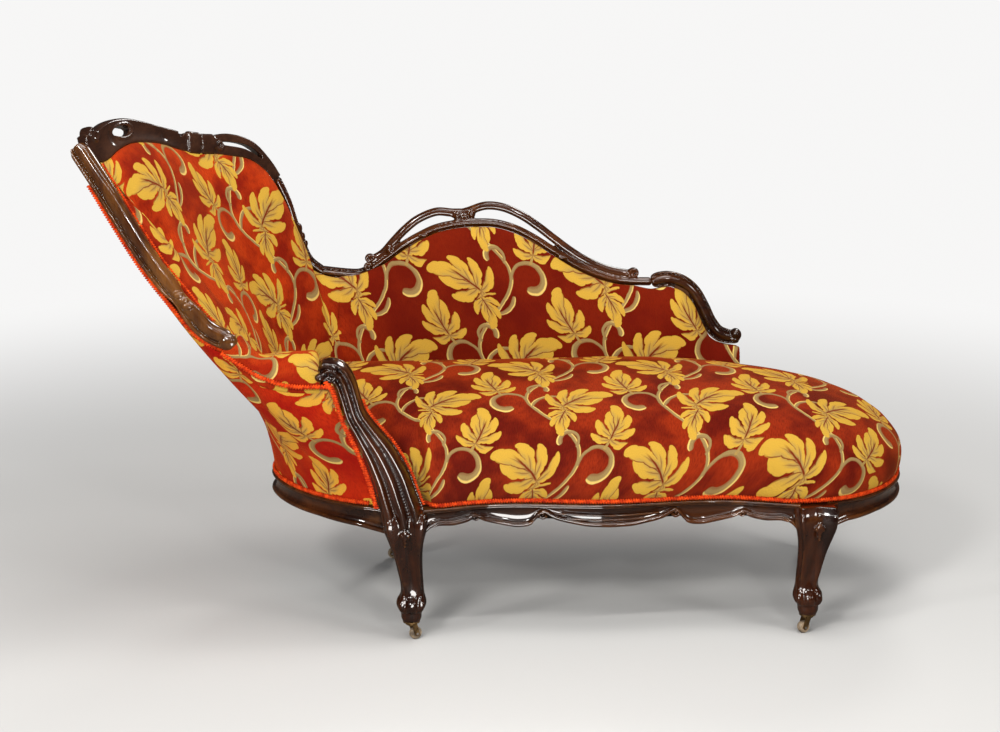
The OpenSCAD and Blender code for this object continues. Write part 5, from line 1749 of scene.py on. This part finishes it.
@dataclass
class Upholstery:
    """Seat, head, side and arm pads, the outside covers, and how their cloth is laid."""

    crown: tuple = ((1, 0), (0.99, 0.16), (0.96, 0.31), (0.92, 0.465), (0.85, 0.605), (0.78, 0.695),
                    (0.69, 0.775), (0.57, 0.845), (0.42, 0.92), (0.26, 0.97), (0.1, 1))
    ridge: tuple = ((-0.32, 0.16), (0.24, 0.17))
    skirt: tuple = ((0.0005, -0.0215, 0), (0.0115, -0.0218, 0), (0.0128, -0.016, 0), (0.0140, -0.006, 0))
    base: tuple = (-0.068, -0.050, -0.030, -0.012, 0.0005)
    sink: float = 0.004
    arm_tuck: float = 0.004
    pressure: float = 4.0
    frames: int = 14

    def inflate(self, obj: bpy.types.Object, free: Array, cap: float) -> None:
        """Swells a pad as cloth under pressure between its sewn edges.

        Args:
            obj: The pad.
            free: Share of each point that may move, 0 on sewn edges.
            cap: Furthest that a point may move.
        """
        mesh = obj.data
        group = obj.vertex_groups.new(name="sewn")
        for i, value in enumerate(free):
            group.add([i], float(1 - value), "REPLACE")
        cloth = obj.modifiers.new("Cloth", "CLOTH")
        s = cloth.settings
        s.quality, s.mass, s.air_damping = 5, 0.3, 1.0
        s.tension_stiffness = s.compression_stiffness = 12.0
        s.shear_stiffness, s.bending_stiffness = 8.0, 1.5
        s.use_pressure, s.uniform_pressure_force = True, self.pressure
        s.vertex_group_mass, s.pin_stiffness = "sewn", 1.0
        s.effector_weights.gravity = 0.0
        cloth.collision_settings.use_collision = False
        rest, moved = np.empty((2, len(mesh.vertices) * 3))
        mesh.vertices.foreach_get("co", rest)
        for step in range(self.frames):
            bpy.context.scene.frame_set(step + 1)
        swelled = obj.evaluated_get(bpy.context.evaluated_depsgraph_get())
        swelled.to_mesh().vertices.foreach_get("co", moved)
        swelled.to_mesh_clear()
        rest, moved = rest.reshape(-1, 3), moved.reshape(-1, 3)
        step_v = moved - rest
        length = np.linalg.norm(step_v, axis=1, keepdims=True)
        step_v *= np.tanh(length / cap) * cap / np.maximum(length, 1e-9) * free[:, None]
        obj.modifiers.remove(cloth)
        obj.vertex_groups.clear()
        mesh.vertices.foreach_set("co", (rest + step_v).ravel())
        mesh.update()
        bpy.context.scene.frame_set(1)
        LOG.info("%s swelled by at most %.1f mm", obj.name, np.linalg.norm(step_v, axis=1).max() / MM)

    def pad(self, rings: Array, uv: Array, free: Array | None, name: str, finish: str, nodes: Sequence[str],
            cap: float, fill: float, slot: str = "floral_fabric") -> None:
        """Makes a stuffed piece from closed rings.

        Args:
            rings: Closed rings of points.
            uv: Cloth map of each point.
            free: Share of each point that may swell, or nothing where none may.
            name: Name of the piece.
            finish: Key of its finish.
            nodes: Nodes that it stands for.
            cap: Furthest that a point may swell.
            fill: How full the pad is, from 0 to 1; not used.
            slot: Material slot in the record; not used.
        """
        mesh = skin(rings, uv, name)
        bm = bmesh.new()
        bm.from_mesh(mesh)
        bmesh.ops.recalc_face_normals(bm, faces=bm.faces)
        bmesh.ops.triangulate(bm, faces=[f for f in bm.faces if len(f.verts) > 4])
        bm.to_mesh(mesh)
        bm.free()
        shade_smooth(mesh)
        obj = finish_piece(mesh, name, finish, nodes)
        if free is not None:
            self.inflate(obj, free.ravel(), cap)
        smooth = obj.modifiers.new("Subdivision", "SUBSURF")
        smooth.levels = smooth.render_levels = 1

    def seat_loop(self, line: Array, share: float, out: float, z: float) -> Array:
        """One loop of the seat pad.

        Args:
            line: Seat outline in plan.
            share: Size of the loop about the crown's ridge.
            out: How far it lies outside the outline.
            z: Its height.

        Returns:
            The loop's points.
        """
        c = COUCH
        p = line + rightward(tangents(line, True)) * out
        lean = c.head_reach * np.clip((-line[:, 0] / c.part - 12) / 16, 0, 1)
        p[:, 0] -= lean * (z - c.rail_h) / (c.seat_h - c.rail_h)
        first, last = np.array(self.ridge)
        k = (p[:, 0] - line[:, 0].min()) / (line[:, 0].max() - line[:, 0].min())
        q = (first + (last - first) * k[:, None]) * (1 - share) + p * share
        q[:, 1] = np.minimum(q[:, 1], 0.2025 + np.maximum(0, q[:, 0] - 0.548))
        return np.column_stack([q, np.full(len(line), z)])

    def seat(self) -> None:
        """Makes the domed seat pad."""
        c = COUCH
        line = c.line(c.seat, 4, True)
        floor, bulge, top = c.rail_h + c.gap, c.rail_h + c.seat_bulge, c.seat_h - self.sink
        swell = c.seat_swell - self.sink
        loops = [(0.45, 0, floor + 0.085), (0.82, 0, floor + 0.08), (0.84, 0, floor), (1, -0.0085, floor),
                 (1, -0.003, floor + 0.005), (1, swell * 0.5, floor + 0.014),
                 (1, swell * 0.85, floor + 0.028)]
        loops += [(share, swell, bulge + (top - bulge) * rise) for share, rise in spline(self.crown, 3)]
        rings = np.array([self.seat_loop(line, *loop) for loop in loops + [(0.03, 0, top)]])
        uv = np.zeros(rings.shape[:2] + (2,))
        uv[-1] = rings[-1, :, :2]
        for i in range(len(rings) - 2, -1, -1):
            step = np.linalg.norm(rings[i] - rings[i + 1], axis=1)
            away = unit(rings[max(i, 6), :, :2] - rings[-1, :, :2])
            uv[i] = uv[i + 1] + away * step[:, None]
        free = np.clip((rings[:, :, 2] - floor - 0.01) / 0.04, 0, 1)
        free[:4] = 0
        free *= np.clip((0.19 - rings[:, :, 1]) / 0.04, 0, 1) * np.clip((rings[:, :, 0] + 0.36) / 0.1, 0, 1)
        self.pad(rings[::-1], uv[::-1], free[::-1], "seat_cushion", "seat_cloth", ["seat_pad"], 0.007, 0.95)

    def flat_map(self, wall: Wall, points: Array, sign: float = 1.0) -> Array:
        """Cloth map of points on a wall, laid out flat so that the pattern keeps its shape.

        Args:
            wall: The wall.
            points: Points on it, row by row.
            sign: -1 to mirror the map.

        Returns:
            Two numbers for each point and for its double at the back, in metres.
        """
        height = np.linalg.norm(points - wall.feet[:, None], axis=2)
        levels = np.linspace(0, height.max(), 30)
        run = travelled(wall.feet[:, None] + unit(wall.tops - wall.feet)[:, None] * levels[None, :, None])
        run -= run[len(run) // 3]
        u = np.array([np.interp(h, levels, r) for h, r in zip(height, run)])
        uv = np.stack([u * sign, height], -1)
        return there_and_back(uv, uv)

    def inside(self, wall: Wall, low: Array, high: Array, thick: Array) -> None:
        """Makes the pad on the inside of head and side.

        Args:
            wall: The wall.
            low: Lowest share of each row.
            high: Highest share of each row.
            thick: Thickness of the pad on each row.
        """
        p, n, t = wall.grid(low, high, 26)
        edge = 0.02 + 0.98 * np.maximum(0, 1 - np.abs(2 * t - 1) ** 3.6) ** 0.62
        outer = p + n * (COUCH.wall_half + thick[:, None, None] * edge[None, :, None])
        rings = there_and_back(outer, p + n * COUCH.wall_half)
        free = swells(t, 9)[None] * swells(np.linspace(0, 1, len(p)), 14)[:, None]
        free = there_and_back(free, np.zeros(free.shape))
        self.pad(rings, self.flat_map(wall, outer), free, "inside_back_cushion", "head_cloth",
                 ["head_pad", "side_back_pad"], 0.006, 0.85)

    def cover(self, wall: Wall, low: Array, high: Array, name: str, node: str, count: int,
              reach: float) -> None:
        """Makes a tightly stretched outside cover.

        Args:
            wall: The wall.
            low: Lowest share of each row.
            high: Highest share of each row.
            name: Name of the piece.
            node: The node it stands for.
            count: Points up each row.
            reach: How far its first rows reach on towards the arm post.
        """
        p, n, t = wall.grid(low, high, count)
        p[0, :, 0] += reach * np.sin(np.pi * t)
        p[1, :, 0] += reach * np.sin(np.pi * t) * 0.6
        edge = np.sqrt(np.maximum(0, 1 - np.abs(2 * t - 1) ** 6))
        outer = p - n * (COUCH.wall_half + 0.0012 + 0.0018 * edge[None, :, None])
        rings = there_and_back(p - n * COUCH.wall_half, outer)
        self.pad(rings, self.flat_map(wall, outer, -1.0), None, name, "outside_cloth", [node], 0.0, 1.0,
                 "outside_fabric")

    def head(self) -> None:
        """Makes the joined inside pad of head and side, and the outside head cover."""
        c, steps = COUCH, 4
        whole = HEAD_WALL.joined(SIDE_WALL)
        n, head = len(whole.tops), len(HEAD_WALL.tops)
        order, size, top = np.arange(n), whole.sizes(), whole.top_share()
        tucked = np.where(order < STARTS["stile"], 1 - self.arm_tuck / size, top + 0.010 / size)
        board = np.where(order < STARTS["stile"], 1 - (0.020 + c.gap) * whole.slant() / size, top)
        valley = (order > STARTS["rear"] + 3) & (order < head + 3)
        edge = np.where(valley, -0.012, -0.003) / size
        top = board - np.where(order <= STARTS["stile"], 0.9 * c.pad_t / size, edge)
        thick = c.pad_t * np.where((order == 0) | (order == n - 1), 0.5, 0.92)
        dense = whole.dense(steps)
        low, high, fat, cover = (spread(v, len(dense.tops)) for v in (whole.low_share(), top, thick, tucked))
        self.inside(dense, low, high, fat)
        last = steps * (head - 1) + 1
        self.cover(HEAD_WALL.dense(steps), low[:last], cover[:last], "head_outside_panel",
                   "head_outside_cover", 20, 0.016)

    def side(self) -> None:
        """Makes the outside side cover."""
        dense = SIDE_WALL.dense(4)
        low, high = (spread(v, len(dense.tops)) for v in (SIDE_WALL.low_share(), SIDE_WALL.top_share()))
        self.cover(dense, low, high, "side_outside_panel", "side_outside_cover", 12, 0.0)

    def arm(self) -> None:
        """Makes the arm pad on its board."""
        c = COUCH
        line = spline(HEAD_WALL.tops[:STARTS["stile"] + 1], 8)
        line = np.vstack([line[4] + (0.004, 0, 0), line[5:-1]])
        t = tangents(line)
        side = unit(np.stack([-t[:, 1], t[:, 0], 0 * t[:, 0]], 1))
        up = np.cross(t, side)
        height = np.maximum(c.arm_h - line[:, 2], 0.020)
        ends = tapered(line, 1.0, 0.010, 0.03, 0.5)
        a = np.linspace(0, np.pi, 22)
        body = np.column_stack([0.043 * squared(np.cos(a), 0.7) - 0.027, 0 * a, np.abs(np.sin(a)) ** 0.85])
        base = [(x, c.gap, 0) for x in self.base] + [(self.base[-1], -0.010, 0)]
        section = np.vstack([self.skirt, body, base])
        lift = section[:, 1][None] + section[:, 2][None] * (height * (0.8 + 0.2 * ends))[:, None]
        rings = line[:, None] + side[:, None] * section[None, :, 0:1] + up[:, None] * lift[:, :, None]
        plan = np.column_stack([section[:, 0], section[:, 1] + section[:, 2] * 0.05])
        uv = np.stack(np.meshgrid(travelled(line), travelled(plan), indexing="ij"), -1)
        free = np.zeros(rings.shape[:2])
        free[2:-2, 5:25] = 1
        self.pad(rings, uv, free, "arm_cushion", "arm_cloth", ["arm_pad"], 0.004, 0.9)

    def build(self) -> None:
        """Makes all the upholstery."""
        for make in (self.seat, self.head, self.side, self.arm):
            make()


@dataclass
class Gimp:
    """Corded braid along the seams, made of slanted strands."""

    pitch: float = 0.0054
    post_front: float = -0.3000
    post_rear: float = -0.2640
    tree: bpy.types.NodeTree | None = None

    def make_tree(self) -> bpy.types.NodeTree:
        """Geometry nodes that lay slanted strands along a curve.

        Returns:
            The tree.
        """
        g = Group("Braid strands", "Curve Pitch Radius Material", "Geometry", "GeometryNodeTree")
        curve, pitch, radius, material = g.read("Curve Pitch Radius Material")
        points = g.results("GeometryNodeCurveToPoints", {"Curve": curve, "Length": pitch}, mode="LENGTH")
        strand = g.add("GeometryNodeMeshUVSphere", {"Segments": 8, "Rings": 5, "Radius": radius})
        strand = g.add("GeometryNodeTransform", {"Geometry": strand, "Rotation": (0.35, 0.0, 0.0),
                                                 "Scale": (0.60, 1.08, 0.50)})
        placed = g.add("GeometryNodeInstanceOnPoints", {"Points": points["Points"], "Instance": strand,
                                                        "Rotation": points["Rotation"]})
        laid = g.add("GeometryNodeRealizeInstances", {0: placed})
        circle = g.add("GeometryNodeCurvePrimitiveCircle", {"Resolution": 8, "Radius": radius * 0.42})
        core = g.add("GeometryNodeCurveToMesh", {"Curve": curve, "Profile Curve": circle, "Fill Caps": True})
        both = g.node("GeometryNodeJoinGeometry")
        for piece in (core, laid):
            g.put(both.inputs[0], piece)
        smooth = g.add("GeometryNodeSetShadeSmooth", {0: Value(g, both.outputs[0])})
        real = g.add("GeometryNodeRealizeInstances", {0: smooth})
        return g.close(Geometry=g.add("GeometryNodeSetMaterial", {"Geometry": real, "Material": material}))

    def strands(self, path: Array, name: str, radius: float) -> bpy.types.Mesh:
        """Mesh of the braid along one path.

        Args:
            path: Where it runs.
            name: Name of its curve.
            radius: Half its thickness.

        Returns:
            The mesh.
        """
        curve = bpy.data.curves.new(name, "CURVE")
        curve.dimensions = "3D"
        curve.twist_mode = "Z_UP"
        line = curve.splines.new("POLY")
        line.points.add(len(path) - 1)
        line.points.foreach_set("co", np.column_stack([path, np.ones(len(path))]).ravel())
        obj = new_object(name, curve)
        mod = obj.modifiers.new("Braid", "NODES")
        mod.node_group = self.tree
        values = {"Pitch": self.pitch, "Radius": radius, "Material": Finishes.get("gimp")}
        for item in self.tree.interface.items_tree:
            if item.name in values and item.in_out == "INPUT":
                mod[item.identifier] = values[item.name]
        obj.data.update_tag()
        return evaluated(obj)

    def lay(self, paths: Sequence[Array], name: str, nodes: Sequence[str], radius: float = 0.0054) -> None:
        """Lays braid along paths.

        Args:
            paths: Where it runs.
            name: Name of the piece.
            nodes: Nodes that it stands for.
            radius: Half its thickness.
        """
        mesh = tidy(join([self.strands(path, name, radius) for path in paths], name))
        finish_piece(mesh, name, "gimp", nodes)

    def beside_post(self, share: float, gap: float, y: float) -> Array:
        """Line along one edge of the arm post.

        Args:
            share: Share of the post's width between the line and its middle, below nought on the right.
            gap: How much further off it lies.
            y: Its place across the couch.

        Returns:
            The line, from the seat rail up.
        """
        rows = spline(COUCH.post_rows()[:9], 5)
        left = -rightward(tangents(rows[:, :2]))
        line = rows[:, :2] + left * (rows[:, 2:3] * share + gap)
        return np.column_stack([line[:, 0], np.full(len(line), y), line[:, 1]])

    def seat_line(self) -> Array:
        """Line on the seat's edge from the arm post round the foot end.

        Returns:
            The line.
        """
        seat = COUCH.line(COUCH.seat, 6, True)
        line = seat + rightward(tangents(seat, True)) * COUCH.gap
        path = np.column_stack([line, np.full(len(seat), COUCH.rail_h + 0.0062)])
        return np.vstack([path[-7:], path[:23 * 6]])

    def build(self) -> None:
        """Lays the seat's braid and the head's braid."""
        c = COUCH
        self.tree = self.make_tree()
        self.lay([self.seat_line()], "seat_braid", ["seat_gimp"])
        w = HEAD_WALL.dense(4)
        low, n_low, _ = w.grid(w.low_share() + 0.006 / w.sizes(), w.low_share() + 0.02, 2)
        foot = (low[:, 0] - n_low[:, 0] * (c.wall_half + c.cover_t + 0.0020))[2:-2]
        up = self.beside_post(0.51, 0.0035, self.post_front)
        up = up[up[:, 2] > c.rail_h + 0.013]
        arm = spline(HEAD_WALL.tops[:STARTS["stile"]], 8)[3:] + (0, -0.0185, -0.0050)
        stile = spline(HEAD_WALL.tops[STARTS["stile"]:STARTS["crest"]], 8)
        across = unit(np.cross(tangents(stile), FORWARD))
        across = np.where(across[:, :1] > 0, across, -across)
        outer = stile - across * (c.stile_w / 2 + 0.0035) + (0, 0.002, 0)
        inner = stile + across * (c.stile_w / 2 + 0.003) + (0, 0.004, 0)
        joined = up[np.argmin(np.abs(up[:, 2] - arm[0, 2] + 0.003))]
        knob = stile[0] + (-0.012, -0.0180, -0.0225)
        arm = spline(np.vstack([joined, arm[::6], arm[-1:], knob]), 8)
        self.lay([foot, up, arm, outer[:-6]], "head_braid", ["head_gimp"])
        self.lay([inner[8:-4]], "stile_braid", [], 0.0032)
        climb = self.beside_post(-0.50, -0.0015, self.post_rear)
        climb = climb[(climb[:, 2] > c.rail_h + 0.004) & (climb[:, 2] < c.arm_h - 0.10)]
        self.lay([climb], "post_braid", [], 0.0046)


def dress_frame() -> None:
    """Gives the nodes that stay their finishes."""
    finish_of = {"jute_webbing": "webbing", "dust_cloth": "dust", "castor_brass": "brass",
                 "axle_steel": "steel", "spring_steel": "steel", "castor_china": "china",
                 "show_wood": "wood_x", "floral_fabric": "seat_cloth",
                 "outside_fabric": "outside_cloth", "gimp_braid": "gimp"}
    for part in frame["record"]["subparts"]:
        obj, slot = frame["nodes"][part["node"]], part["material_slot"]
        material = Finishes.get(finish_of.get(slot, slot))
        for place in obj.material_slots:
            place.material = material
        if not obj.material_slots:
            obj.data.materials.append(material)


@dataclass(frozen=True)
class Lamp:
    """One studio lamp: place, breadth, height, power and whether it only makes highlights on the polish."""

    name: str
    place: tuple[float, float, float]
    wide: float
    tall: float
    power: float
    glint: bool = False
    aim: tuple[float, float, float] = (0.0, 0.0, 0.45)

    def build(self) -> None:
        """Puts the lamp in the scene."""
        light = bpy.data.lights.new(self.name, "AREA")
        light.energy, light.color = self.power, (1.0, 0.985, 0.96)
        light.shape, light.size, light.size_y = "RECTANGLE", self.wide, self.tall
        lamp = new_object(self.name, light)
        lamp.location = self.place
        lamp.rotation_euler = (Vector(self.aim) - Vector(self.place)).to_track_quat("-Z", "Y").to_euler()
        lamp.visible_camera = False
        lamp.visible_diffuse = not self.glint


@dataclass
class Studio:
    """Floor, lamps, world and camera."""

    lamps: tuple[Lamp, ...] = (
        Lamp("key", (-1.7, -3.6, 3.0), 0.7, 0.7, 92.0), Lamp("fill", (3.4, -2.8, 2.2), 0.7, 0.7, 34.0),
        Lamp("top", (0.4, -0.4, 3.8), 1.4, 1.4, 48.0), Lamp("rim", (1.5, 3.2, 2.8), 1.0, 1.0, 40.0),
        Lamp("tube", (0.2, -1.5, 2.9), 3.4, 0.09, 30.0), Lamp("low_tube", (0.2, -3.2, 2.5), 3.4, 0.09, 18.0),
        Lamp("spark_left", (-2.6, -2.0, 1.5), 0.26, 0.26, 22.0),
        Lamp("spark_right", (0.9, -3.6, 2.1), 0.26, 0.26, 22.0),
        Lamp("post_glint", (-0.05, -1.0, 0.285), 0.5, 0.27, 9.0, True, (-0.05, 0.0, 0.285)))
    backdrop: Colour = (0.93, 0.925, 0.92)
    sky: Colour = (0.95, 0.97, 1.0)
    reach: float = 30
    floor_z: float = -0.0005
    camera_place: tuple[float, float, float] = (-0.2517, -4.5737, 1.66)
    lens: float = 79.2
    tilt: float = 14
    yaw: float = 3

    def floor(self) -> None:
        """Makes the floor, which fades into the backdrop."""
        mesh = bpy.data.meshes.new("floor")
        corners = [(x * self.reach, y * self.reach, self.floor_z)
                   for x, y in ((-1, -1), (1, -1), (1, 1), (-1, 1))]
        mesh.from_pydata(corners, [], [(0, 1, 2, 3)])
        floor = new_object("floor", mesh)
        g = Surface("Pale floor", (0.8, 0.8, 0.8))
        ray = g.results("ShaderNodeLightPath")
        # Darker to glossy rays than to the rest: a painted dim reflection of the floor in the polish.
        colour = g.mix(ray["Is Glossy Ray"], (0.60, 0.595, 0.585), (0.16, 0.14, 0.12))
        for key, value in (("Base Color", colour), ("Roughness", 0.8), ("Specular IOR Level", 0.2)):
            g.put(g.shader.inputs[key], value)
        away = g.add("ShaderNodeVectorMath", {0: g.place()}, "Value", operation="LENGTH")
        share = g.ramp(away, 1.1, 3.4) * ray["Is Camera Ray"]
        glow = g.add("ShaderNodeEmission", {"Color": self.backdrop})
        mixed = g.add("ShaderNodeMixShader", {0: share, 1: Value(g, g.shader.outputs[0]), 2: glow})
        g.put(g.end.inputs[0], mixed)
        mesh.materials.append(g.material)

    def world(self) -> None:
        """Makes the world: camera backdrop, a dim sky for the polish and a brighter one for the rest."""
        world = bpy.data.worlds.new("studio")
        bpy.context.scene.world = world
        world.use_nodes = True
        world.node_tree.nodes.clear()
        g = Graph(world.node_tree)
        seen, sky, dim = (g.add("ShaderNodeBackground", {"Color": colour, "Strength": strength})
                          for colour, strength in ((self.backdrop, 1.0), (self.sky, 0.22), (self.sky, 0.035)))
        ray = g.results("ShaderNodeLightPath")
        other = g.add("ShaderNodeMixShader", {0: ray["Is Glossy Ray"], 1: sky, 2: dim})
        mixed = g.add("ShaderNodeMixShader", {0: ray["Is Camera Ray"], 1: other, 2: seen})
        g.node("ShaderNodeOutputWorld", {0: mixed})

    def camera(self) -> None:
        """Makes the camera."""
        data = bpy.data.cameras.new("camera")
        data.sensor_width, data.lens, data.clip_end = 36.0, self.lens, 100.0
        camera = new_object("camera", data)
        camera.location = self.camera_place
        tilt, yaw = math.radians(self.tilt), math.radians(self.yaw)
        aim = Vector((math.sin(yaw) * math.cos(tilt), math.cos(yaw) * math.cos(tilt), -math.sin(tilt)))
        camera.rotation_euler = aim.to_track_quat("-Z", "Y").to_euler()
        bpy.context.scene.camera = camera

    def build(self) -> None:
        """Makes the floor, the lamps, the world and the camera."""
        self.floor()
        for lamp in self.lamps:
            lamp.build()
        self.world()
        bpy.context.scene.view_settings.view_transform = "Standard"
        self.camera()


def main() -> None:
    """Builds the couch in order and reports each piece."""
    logging.basicConfig(level=logging.INFO, format="%(message)s")
    Studio().build()
    dress_frame()
    for part in (SeatFrame(), Legs(), ShowWood(), Upholstery(), Gimp()):
        part.build()


if __name__ == "__main__":
    main()
